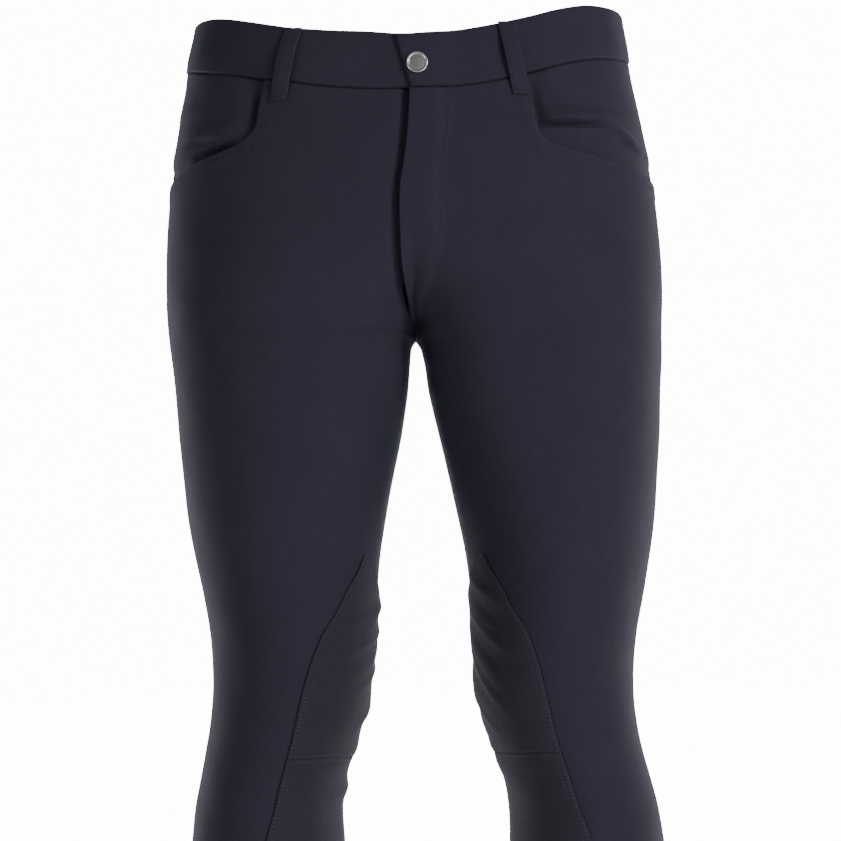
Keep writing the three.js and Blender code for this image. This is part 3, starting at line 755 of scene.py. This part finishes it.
def facing_out(side, t, z):
    """The facing passes behind the pocket's edge, comes up level and is folded there."""
    x = form_point("front", t, z)[..., 0]
    across = x - scoop_x_at[side](z) - FACING_HIDDEN
    up = z - scoop_z_at[side](x) - FACING_HIDDEN
    ease = smooth(across, 0, FACING_EASE) * smooth(up, 0, FACING_EASE)
    rise = smooth(across, 0, FACING_RISE) * smooth(up, 0, FACING_RISE)
    height = np.zeros(x.shape)
    for fold in rows_of(FACING_FOLDS[side]):
        to_x, to_z = fold["to_x"] - fold["x"], fold["to_z"] - fold["z"]
        is_above = (z - fold["z"]) * to_x - (x - fold["x"]) * to_z > 0
        half = np.where(is_above == (to_x > 0), fold["above"], fold["below"])
        height += ridge(x - fold["x"], z - fold["z"], to_x, to_z, half, fold["out"])
    height *= ease
    for gape in rows_of(GAPES[side]):
        to_x, to_z = gape["to_x"] - gape["x"], gape["to_z"] - gape["z"]
        height += ridge(x - gape["x"], z - gape["z"], to_x, to_z, gape["half"], gape["out"])
    return height - FACING_DEPTH * (1 - rise)


def pocket_facing(side):
    first = SCOOPS[side]["x"][0] - FACING_INSIDE
    start = float(share_at_x(first, SCOOPS[side]["z"][0]))
    across = np.linspace(start, 1, 90)
    down = np.linspace(0, 1, 90)[:, None]
    foot = mix(FACING_FOOT["inner"], FACING_FOOT["outer"], np.linspace(0, 1, 90))
    top = waist_seam_z(side, "front", across) + WAIST_OVERLAP
    z = mix(top[None, :], foot[None, :], down)
    t = np.broadcast_to(across, z.shape)
    seam = bell((1 - t) * girth(z), SEAM_ROLL["wide"])
    out = facing_out(side, t, z) - SEAM_ROLL["deep"] * seam - waist_groove(side, "front", t, z)
    outer = skin(side, "front", t, z, out)
    inner = skin(side, "front", t, z, out - CLOTH)
    return wall(f"pocket_facing_{side}_cloth", outer, inner, "cloth")


def around_skin(around, z, out, side=None):
    """Points on the trunk by degrees around from the centre front, the right negative."""
    around, z, out = np.broadcast_arrays(*(np.asarray(v, float) for v in (around, z, out)))
    points = np.zeros(around.shape + (3,))
    degrees = np.abs(around)
    for name in ("left", "right"):
        if side and name != side:
            continue
        mine = np.ones(around.shape, bool) if side else (around >= 0) == (name == "left")
        flip = np.where((around < 0) == (name == "left"), -1, 1)
        for face in ("front", "back"):
            here = mine & ((degrees <= 90) == (face == "front"))
            if not here.any():
                continue
            t = degrees[here] / 90 if face == "front" else (180 - degrees[here]) / 90
            t = t * flip[here] if face == "front" else t
            points[here] = skin(name, face, t, z[here], out[here])
    return points


def band_place(side, around_share, up):
    """Degrees around, height and how far out a place on the waistband is."""
    edge = mix(TAB_EDGE["foot"], TAB_EDGE["top"], up)
    start_x = edge if side == "left" else np.full(np.shape(edge), -float(BAND_UNDERLAP))
    waist = float(outer_at(0))
    start = np.arcsin(start_x / waist)
    around = np.degrees(mix(start, math.pi, around_share))
    degrees = np.abs(around)
    z = mix(waist_foot_at[side](degrees), waist_top_at[side](degrees), up)
    x = np.sin(np.radians(around)) * waist
    slope = 1 - smooth(x, TAB_SLOPE["from"], TAB_SLOPE["to"])
    lift = TAB_LIFT * slope if side == "left" else 0 * x
    return around, z, BAND_OUT + np.where(around < 90, lift, 0)


def waistband(side):
    around_share, up = np.meshgrid(edge_shares(150), edge_shares(26, (0.012, 0.03, 0.06)))
    around, z, out = band_place(side, around_share, up)
    from_edge = np.minimum(up, 1 - up) * BAND_TALL
    wide = np.where(up < 0.5, BAND_ROLL["foot_wide"], BAND_ROLL["wide"])
    deep = np.where(up < 0.5, BAND_ROLL["foot_deep"], BAND_ROLL["deep"])
    roll = deep * bell(from_edge, wide)
    swell = 0.35 * np.sin(math.pi * np.clip((from_edge - 2) / 17, 0, 1) / 2)
    end = bell(around_share * BAND_LONG, 1.0) * (side == "left")
    ripple = 0.18 * np.sin(around * 0.42 + 2 * up) * np.sin(math.pi * up)
    detail = swell + ripple - roll - 0.6 * end
    wear = 0.35 * bell(BAND_TALL * (1 - up) - 0.8, 1.0)
    sign = 1 if side == "left" else -1
    outer = around_skin(sign * around, z, out + detail, side)
    inner = around_skin(sign * around, z, out - BAND_WALL - 0.5 * detail, side)
    return wall(f"waistband_{side}_cloth", outer, inner, "cloth", wear)


loop_out_at = curve(LOOP_STAND, "share", "out")


def loop_place(loop, share, across, out):
    """Points on a belt loop: a share of the way down it and a distance across it."""
    share, across, out = np.broadcast_arrays(share, across, out)
    around = mix(loop["top"], loop["foot"], share)
    band = "right" if loop["top"] < 0 else "left"
    top = waist_top_at[band](np.abs(around)) - LOOP_TOP_INSET
    z = mix(top, waist_foot_at[band](np.abs(around)) - LOOP_FOOT, share)
    centre = around_skin(around, z, 0)
    outward = around_skin(around, z, 1) - centre
    step = np.where(around > 170, -1.0, 1.0)
    sideways = (around_skin(around + step, z, 0) - centre) * step[..., None]
    sideways[..., 2] = 0
    return centre + unit(sideways) * across[..., None] + outward * out[..., None]


def belt_loop(loop):
    share, side = np.meshgrid(np.linspace(0, 1, 46), np.linspace(-1, 1, 15), indexing="ij")
    rounding = -0.45 * np.abs(side) ** 6
    crown = 0.3 * (1 - side**2)
    dent = -0.35 * bell(np.abs(side) - 0.72, 0.1)
    tack = -0.5 * bell(share - 0.93, 0.02)
    base = loop_out_at(share)
    across = side * LOOP_WIDTH / 2
    detail = rounding + crown + dent + tack
    outer = loop_place(loop, share, across, base + LOOP_WALL + detail)
    inner = loop_place(loop, share, across, base - 0.3 * rounding)
    wear = np.clip(np.abs(side) ** 8 * 0.8, 0, 1)
    return wall(f"belt_loop_{loop['name']}_cloth", outer, inner, "cloth", wear)


def patch_place(side, turn, z, out):
    """Points on a leg by degrees around it from its inner seam, the front positive."""
    turn, z, out = np.broadcast_arrays(*(np.asarray(v, float) for v in (turn, z, out)))
    points = np.zeros(turn.shape + (3,))
    for face in ("front", "back"):
        here = (turn >= 0) == (face == "front")
        if here.any():
            points[here] = skin(side, face, np.abs(turn[here]) / 180, z[here], out[here])
    return points


def knee_patch(side, part, top_z, foot_z):
    count = int(round((top_z - foot_z) / 2.1))
    edge = (0.008, 0.018, 0.03)
    z = mix(top_z, foot_z, edge_shares(count, (0.006, 0.014)))[:, None]
    share = edge_shares(60, edge)[None, :]
    back, front = patch_back_at(z), patch_front_at(z)
    turn = mix(back, front, share)
    z = np.broadcast_to(z, turn.shape)
    wide = (front - back) * per_degree(z)
    from_side = np.minimum(share, 1 - share) * wide
    from_end = np.minimum(np.abs(z - top_z), np.abs(z - foot_z))
    near = np.minimum(from_side, from_end)
    dent = bell(from_side - 2.6, 1.0) + bell(from_end - 2.4, 1.0)
    detail = -0.55 * bell(near, 0.8) - 0.25 * dent
    wear = 0.9 * bell(near - 0.8, 0.9)
    outer = patch_place(side, turn, z, PATCH_GAP + PATCH_WALL + detail)
    inner = patch_place(side, turn, z, PATCH_GAP)
    return wall(f"knee_patch_{part}_{side}_suede", outer, inner, "suede", wear)


def snap():
    """The press stud's cap: a dished dome inside a raised rim."""
    profile = [
        (0, 0), (0.9, 0), (0.97, 0.12), (1, 0.5), (1, 1.5), (0.985, 1.9), (0.95, 2.2),
        (0.9, 2.33), (0.85, 2.3), (0.81, 2.1), (0.78, 1.8), (0.75, 1.66), (0.7, 1.68),
        (0.6, 1.8), (0.45, 1.95), (0.25, 2.06), (0, 2.1),
    ]
    sides = 64
    turns = np.linspace(0, 2 * math.pi, sides, endpoint=False)
    radius = np.array([r for r, _ in profile]) * SNAP_RADIUS
    high = np.array([h for _, h in profile])
    ring = np.stack([np.cos(turns), np.sin(turns)], axis=1)
    grid = np.zeros((len(profile), sides, 3))
    grid[..., :2] = radius[:, None, None] * ring[None]
    grid[..., 2] = high[:, None]
    z = SNAP_PLACE["z"]
    t = share_at_x(SNAP_PLACE["x"], z)
    seat = skin("left", "front", t, z, BAND_OUT + TAB_LIFT)
    out = unit(skin("left", "front", t, z, BAND_OUT + TAB_LIFT + 1) - seat)
    side = unit(np.cross((0, 0, 1), out))
    up = np.cross(out, side)
    points = seat + grid @ np.stack([side, up, out])
    faces = []
    for j in range(len(profile) - 1):
        for i in range(sides):
            k = (i + 1) % sides
            faces.append((j * sides + i, j * sides + k, (j + 1) * sides + k, (j + 1) * sides + i))
    return mesh_object("snap_cap_metal", points.reshape(-1, 3), faces, "metal")


def stitches(paths, kind):
    """Points and faces of one stitch after another along each path."""
    starts, ends, outs = [], [], []
    for points, out in paths:
        step = np.linalg.norm(np.diff(points, axis=0), axis=1)
        length = np.concatenate([[0], np.cumsum(step)])
        at = np.arange(0.3, length[-1] - kind["long"], kind["pitch"])

        def sample(values, where):
            return np.stack([np.interp(where, length, values[:, k]) for k in range(3)], axis=1)

        starts.append(sample(points, at))
        ends.append(sample(points, at + kind["long"]))
        outs.append(unit(sample(out, at + kind["long"] / 2)))
    return rods(np.concatenate(starts), np.concatenate(ends), np.concatenate(outs), kind["thick"])


def rods(start, end, out, thick):
    """Short rounded rods from start to end, lying on the cloth whose direction out is given."""
    stations = ((0, 0.4, -0.35), (0.22, 0.95, 0.25), (0.78, 0.95, 0.25), (1, 0.4, -0.35))
    turns = np.linspace(0, 2 * math.pi, 5, endpoint=False)
    along = unit(end - start)
    side = unit(np.cross(along, out))
    up = np.cross(side, along)
    rings = []
    for share, size, lift in stations:
        centre = start + (end - start) * share + up * lift * thick
        for turn in turns:
            rings.append(centre + (side * math.cos(turn) + up * math.sin(turn)) * size * thick / 2)
    points = np.stack(rings, axis=1)
    each = len(stations) * len(turns)
    faces = []
    for j in range(len(stations) - 1):
        for i in range(len(turns)):
            k = (i + 1) % len(turns)
            a, b = j * len(turns), (j + 1) * len(turns)
            faces.append((a + i, a + k, b + k, b + i))
    faces.append(tuple(range(len(turns)))[::-1])
    faces.append(tuple(range(each - len(turns), each)))
    base = np.arange(len(points)) * each
    joined = [tuple(int(b) + v for v in face) for b in base for face in faces]
    return points.reshape(-1, 3), joined


def path_on(place, *args, out=0.0):
    """A path on the cloth and the direction out of it."""
    points = place(*args, out)
    return points, place(*args, out + 1.0) - points


def joined(groups):
    """Several groups of points and faces as one."""
    points, faces, count = [], [], 0
    for group_points, group_faces in groups:
        points.append(group_points)
        faces += [tuple(v + count for v in face) for face in group_faces]
        count += len(group_points)
    return np.concatenate(points), faces


def pocket_paths(side):
    """Two rows along a pocket's turned edge."""
    line_t, line_z = scoop_line(side, 150)
    across = line_t * QUARTER
    slope = unit(np.stack([np.gradient(across), np.gradient(line_z)], axis=1))
    paths = []
    for distance in (2.2, 7.6):
        t = (across + slope[:, 1] * distance) / QUARTER
        z = line_z - slope[:, 0] * distance
        keep = (t < 1 - 0.004) & (z < waist_seam_z(side, "front", t) - 0.5)
        out = POCKET_HEM["high"] + 0.05
        paths.append(path_on(skin, side, "front", t[keep], z[keep], out=out))
    return paths


def hem_paths(side):
    t = np.linspace(0.01, 0.99, 120)
    z = np.full(t.shape, HEM_Z + HEM_TURN - 2.0)
    return [path_on(skin, side, face, t, z, out=0.35) for face in ("front", "back")]


def loop_paths(side):
    """Two rows along each belt loop and a bar tack across its foot."""
    paths = []
    for loop in BELT_LOOPS:
        if (loop["top"] < 0) != (side == "right"):
            continue
        share = np.linspace(0.03, 0.97, 60)
        for across in (-4.7, 4.7):
            paths.append(path_on(loop_on, loop, share, across, out=LOOP_WALL - 0.05))
        across = np.linspace(-4.8, 4.8, 20)
        for share in (0.925, 0.94):
            paths.append(path_on(loop_on, loop, share, across, out=LOOP_WALL - 0.3))
    return paths


def cloth_stitching():
    """Top stitching in the cloth's own colour, as one joined piece for each side."""
    pieces = {}
    for side in ("left", "right"):
        groups = [stitches(hem_paths(side), STITCH), stitches(pocket_paths(side), FINE_STITCH)]
        if side == "left":
            groups.append(stitches(fly_paths(), FINE_STITCH))
        groups.append(stitches(loop_paths(side), FINE_STITCH))
        pieces[side] = joined(groups)
    return pieces


def loop_on(loop, share, across, out):
    share, across = np.broadcast_arrays(share, across)
    return loop_place(loop, share, across, loop_out_at(share) + out)


def fly_paths():
    """A row that follows the fly's facing down and round into the middle seam."""
    z = np.linspace(-36, -203, 160)
    facing = fly_facing_at(z) - FLY_STITCH_INSIDE
    x = facing * np.sqrt(np.clip(1 - smooth(-z, 150, 204) ** 1.5, 0, 1))
    t = share_at_x(np.maximum(x, 1.2), z)
    return [path_on(skin, "left", "front", t, z, out=fly_out("left", t, z) + 0.05)]


def patch_stitching():
    """Rows along the patches' edges, and the cover stitch's bars across them."""
    groups = []
    lift = PATCH_GAP + PATCH_WALL - 0.15
    for side in ("left", "right"):
        paths = []
        z = np.linspace(PATCH_TOP_Z - 2.5, PATCH_FOOT_Z + 3, 700)
        for distance in (2.6, 5.6):
            for edge, way in ((patch_back_at, 1), (patch_front_at, -1)):
                turn = edge(z) + way * distance / per_degree(z)
                keep = (turn < patch_front_at(z)) & (turn > patch_back_at(z))
                keep &= np.abs(z - PATCH_SEAM_Z) > 1.2
                paths.append(path_on(patch_place, side, turn[keep], z[keep], out=lift))
        for offset in (-2.4, 2.4):
            z = PATCH_SEAM_Z + offset
            turn = np.linspace(float(patch_back_at(z)) + 2, float(patch_front_at(z)) - 2, 160)
            paths.append(path_on(patch_place, side, turn, np.full(turn.shape, z), out=lift))
        groups.append(stitches(paths, FINE_STITCH))
        z = np.arange(COVER_STITCH_Z, PATCH_FOOT_Z + 4, -3.0)
        for edge, way in ((patch_back_at, 1), (patch_front_at, -1)):
            near = edge(z) + way * 0.8 / per_degree(z)
            far = edge(z) + way * 4.6 / per_degree(z)
            start, out = path_on(patch_place, side, near, z, out=lift)
            end, _ = path_on(patch_place, side, far, z - 1.0, out=lift + 0.1)
            groups.append(rods(start, end, unit(out), 0.5))
    return joined(groups)


def shader_of(material):
    """A material's nodes and links, and its shader."""
    material.use_nodes = True
    nodes, links = material.node_tree.nodes, material.node_tree.links
    shader = next(n for n in nodes if n.type == "BSDF_PRINCIPLED")
    return nodes, links, shader


def fabric(name, base, light, weave, grain, roughness, sheen, sheen_tint, sheen_rough, bump):
    """Cloth from noise and fine waves: a weave or nap, uneven dye and lighter worn edges."""
    material = bpy.data.materials.new(name)
    nodes, links, shader = shader_of(material)
    where = nodes.new("ShaderNodeTexCoord")

    def noise(scale, detail=3.0, rough=0.55):
        node = nodes.new("ShaderNodeTexNoise")
        node.inputs["Scale"].default_value = scale
        node.inputs["Detail"].default_value = detail
        node.inputs["Roughness"].default_value = rough
        links.new(where.outputs["Object"], node.inputs["Vector"])
        return node.outputs["Fac"]

    def wave(scale, direction, distortion):
        node = nodes.new("ShaderNodeTexWave")
        node.bands_direction = direction
        node.inputs["Scale"].default_value = scale
        node.inputs["Distortion"].default_value = distortion
        node.inputs["Detail"].default_value = 1.0
        links.new(where.outputs["Object"], node.inputs["Vector"])
        return node.outputs["Fac"]

    def math_node(kind, a, b):
        node = nodes.new("ShaderNodeMath")
        node.operation = kind
        for socket, value in zip(node.inputs, (a, b)):
            if isinstance(value, (int, float)):
                socket.default_value = value
            else:
                links.new(value, socket)
        return node.outputs[0]

    def blend(share, a, b):
        node = nodes.new("ShaderNodeMix")
        node.data_type = "RGBA"
        links.new(share, node.inputs["Factor"])
        colours = [socket for socket in node.inputs if socket.type == "RGBA"]
        for socket, value in zip(colours, (a, b)):
            if isinstance(value, tuple):
                socket.default_value = (*value, 1)
            else:
                links.new(value, socket)
        return next(socket for socket in node.outputs if socket.type == "RGBA")

    threads = math_node("MULTIPLY", wave(weave, "DIAGONAL", 5.0), noise(grain, 2.0))
    threads = math_node("MULTIPLY", threads, 0.5)
    cloudy = math_node("MULTIPLY", noise(9, 2.0), 0.6)
    speckled = math_node("MULTIPLY", noise(260), 0.4)
    uneven = math_node("ADD", cloudy, speckled)
    colour = blend(uneven, base, light)
    worn = nodes.new("ShaderNodeAttribute")
    worn.attribute_name = "wear"
    fade = math_node("MULTIPLY", worn.outputs["Fac"], math_node("ADD", noise(70), -0.15))
    colour = blend(math_node("MULTIPLY", fade, 0.8), colour, tuple(1.45 * c for c in light))
    links.new(colour, shader.inputs["Base Color"])
    rough = math_node("ADD", math_node("MULTIPLY", noise(40), 0.12), roughness - 0.06)
    links.new(rough, shader.inputs["Roughness"])
    bumped = nodes.new("ShaderNodeBump")
    bumped.inputs["Strength"].default_value = bump
    bumped.inputs["Distance"].default_value = 0.0004
    height = math_node("ADD", threads, math_node("MULTIPLY", noise(grain * 0.5, 4.0), 0.7))
    links.new(height, bumped.inputs["Height"])
    links.new(bumped.outputs["Normal"], shader.inputs["Normal"])
    shader.inputs["Specular IOR Level"].default_value = 0.3
    shader.inputs["Sheen Weight"].default_value = sheen
    shader.inputs["Sheen Roughness"].default_value = sheen_rough
    shader.inputs["Sheen Tint"].default_value = (*sheen_tint, 1)
    materials[name] = material


def speckled(name, dark, light, scale, roughness):
    """A material with a fine noise between two colours."""
    material = bpy.data.materials.new(name)
    nodes, links, shader = shader_of(material)
    where = nodes.new("ShaderNodeTexCoord")
    noise = nodes.new("ShaderNodeTexNoise")
    noise.inputs["Scale"].default_value = scale
    links.new(where.outputs["Object"], noise.inputs["Vector"])
    ramp = nodes.new("ShaderNodeValToRGB")
    for element, colour in zip(ramp.color_ramp.elements, (dark, light)):
        element.color = (*colour, 1)
    links.new(noise.outputs["Fac"], ramp.inputs["Fac"])
    links.new(ramp.outputs["Color"], shader.inputs["Base Color"])
    shader.inputs["Roughness"].default_value = roughness
    materials[name] = material
    return nodes, links, shader, noise


def metal():
    """Satin nickel with fine turning marks and a little tarnish."""
    colours = ((0.5, 0.51, 0.53), (0.72, 0.72, 0.73))
    nodes, links, shader, noise = speckled("metal", *colours, 900, 0.3)
    bump = nodes.new("ShaderNodeBump")
    bump.inputs["Strength"].default_value = 0.2
    bump.inputs["Distance"].default_value = 0.0002
    links.new(noise.outputs["Fac"], bump.inputs["Height"])
    links.new(bump.outputs["Normal"], shader.inputs["Normal"])
    shader.inputs["Metallic"].default_value = 1


def thread(name, colour, roughness):
    dark, light = (tuple(share * c for c in colour) for share in (0.8, 1.2))
    _, _, shader, _ = speckled(name, dark, light, 1500, roughness)
    shader.inputs["Sheen Weight"].default_value = 0.05


def dress(piece, slot, *nodes, flat=None, area=None, rests_on=()):
    """Puts a piece in place of its nodes, under the root."""
    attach(piece, "root")
    if nodes:
        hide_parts(*nodes)


fabric(
    "cloth", (0.0195, 0.017, 0.0325), (0.030, 0.026, 0.047), weave=640, grain=1800,
    roughness=0.88, sheen=0.12, sheen_tint=(0.62, 0.74, 1.0), sheen_rough=0.3, bump=0.3,
)
fabric(
    "suede", (0.0165, 0.0148, 0.0235), (0.0345, 0.031, 0.046), weave=90, grain=1100,
    roughness=0.95, sheen=0.1, sheen_tint=(0.7, 0.76, 0.85), sheen_rough=0.5, bump=0.6,
)
metal()
thread("thread", (0.026, 0.023, 0.040), 0.7)
thread("patch_thread", (0.040, 0.037, 0.047), 0.6)

for side in ("left", "right"):
    for face in ("front", "back"):
        flat, area = ((0.3, 0.875), 0.16) if face == "front" else ((0.31, 0.93), 0.17)
        dress(panel(side, face), "cloth", f"{face}_{side}", flat=flat, area=area)
    dress(pocket_facing(side), "cloth", f"pocket_facing_{side}", flat=(0.13, 0.12), area=0.011)
    dress(waistband(side), "cloth", f"waistband_{side}", flat=(0.3, 0.04))
    for part, top_z, foot_z in (
        ("upper", PATCH_TOP_Z, PATCH_SEAM_Z + 0.15),
        ("lower", PATCH_SEAM_Z - 0.15, PATCH_FOOT_Z),
    ):
        flat, area = ((0.135, 0.15), 0.0135) if part == "upper" else ((0.155, 0.235), 0.03)
        piece = knee_patch(side, part, top_z, foot_z)
        dress(piece, "patch", f"knee_patch_{part}_{side}", flat=flat, area=area)
for loop in BELT_LOOPS:
    name = f"belt_loop_{loop['name']}"
    dress(belt_loop(loop), "cloth", name, flat=(0.013, 0.055))
dress(snap(), "snap", "snap_cap")
for side, (points, faces) in cloth_stitching().items():
    dress(mesh_object(f"stitching_{side}", points, faces, "thread"), "cloth")
dress(mesh_object("stitching_patches", *patch_stitching(), "patch_thread"), "patch")


def floor():
    """A plain pale floor under and far around the object."""
    size = 30.0
    corners = [(-size, -size), (size, -size), (size, size), (-size, size)]
    mesh = bpy.data.meshes.new("floor")
    mesh.from_pydata([(x, y, FLOOR_Z) for x, y in corners], [], [(0, 1, 2, 3)])
    material = bpy.data.materials.new("floor")
    nodes, links, shader = shader_of(material)
    shader.inputs["Base Color"].default_value = (0.85, 0.85, 0.85, 1)
    shader.inputs["Roughness"].default_value = 0.9
    shader.inputs["Emission Color"].default_value = (1, 1, 1, 1)
    seen = nodes.new("ShaderNodeLightPath")
    glow = nodes.new("ShaderNodeMath")
    glow.operation = "MULTIPLY"
    glow.inputs[1].default_value = BACKDROP_LIGHT
    links.new(seen.outputs["Is Camera Ray"], glow.inputs[0])
    links.new(glow.outputs[0], shader.inputs["Emission Strength"])
    mesh.materials.append(material)
    piece = bpy.data.objects.new("floor", mesh)
    bpy.context.scene.collection.objects.link(piece)


def light(name, at, aim, size, power):
    """A soft square lamp that the camera doesn't see."""
    lamp = bpy.data.lights.new(name, "AREA")
    lamp.size = size
    lamp.energy = power
    piece = bpy.data.objects.new(name, lamp)
    piece.location = at
    piece.rotation_euler = (Vector(at) - Vector(aim)).to_track_quat("Z", "Y").to_euler()
    piece.visible_camera = False
    bpy.context.scene.collection.objects.link(piece)


def camera():
    data = bpy.data.cameras.new("camera")
    data.sensor_width = SENSOR
    data.lens = FOCAL / IMAGE * SENSOR
    data.shift_x = (IMAGE / 2 - MIDDLE_X) / IMAGE
    data.clip_end = 100
    piece = bpy.data.objects.new("camera", data)
    pitch = Matrix.Rotation(math.radians(90 + CAMERA_PITCH), 4, "X")
    roll = Matrix.Rotation(math.radians(CAMERA_ROLL), 4, "Z")
    piece.matrix_world = Matrix.Translation(CAMERA_AT) @ pitch @ roll
    bpy.context.scene.collection.objects.link(piece)
    bpy.context.scene.camera = piece


def world():
    surroundings = bpy.data.worlds.new("white")
    surroundings.use_nodes = True
    nodes, links = surroundings.node_tree.nodes, surroundings.node_tree.links
    background = nodes["Background"]
    background.inputs["Color"].default_value = (1, 1, 1, 1)
    seen = nodes.new("ShaderNodeLightPath")
    strength = nodes.new("ShaderNodeMapRange")
    strength.inputs["To Min"].default_value = ROOM_LIGHT
    strength.inputs["To Max"].default_value = BACKDROP_LIGHT
    links.new(seen.outputs["Is Camera Ray"], strength.inputs["Value"])
    links.new(strength.outputs["Result"], background.inputs["Strength"])
    bpy.context.scene.world = surroundings


floor()
light("key", (2.5, -2.2, 0.7), (0, 0, -0.3), 0.7, 54)
light("low", (1.8, -2.8, -1.2), (0, 0, -0.8), 1.0, 80)
light("fill", (-2.6, -1.9, -1.1), (0, 0, -0.75), 1.4, 46)
light("rim_left", (-2.2, 2.0, -0.7), (0, 0, -0.55), 1.4, 78)
light("rim_right", (2.2, 2.0, -0.5), (0, 0, -0.45), 1.4, 60)
light("between", (0, 3.0, -0.6), (0, 0, -0.45), 1.6, 90)
camera()
world()
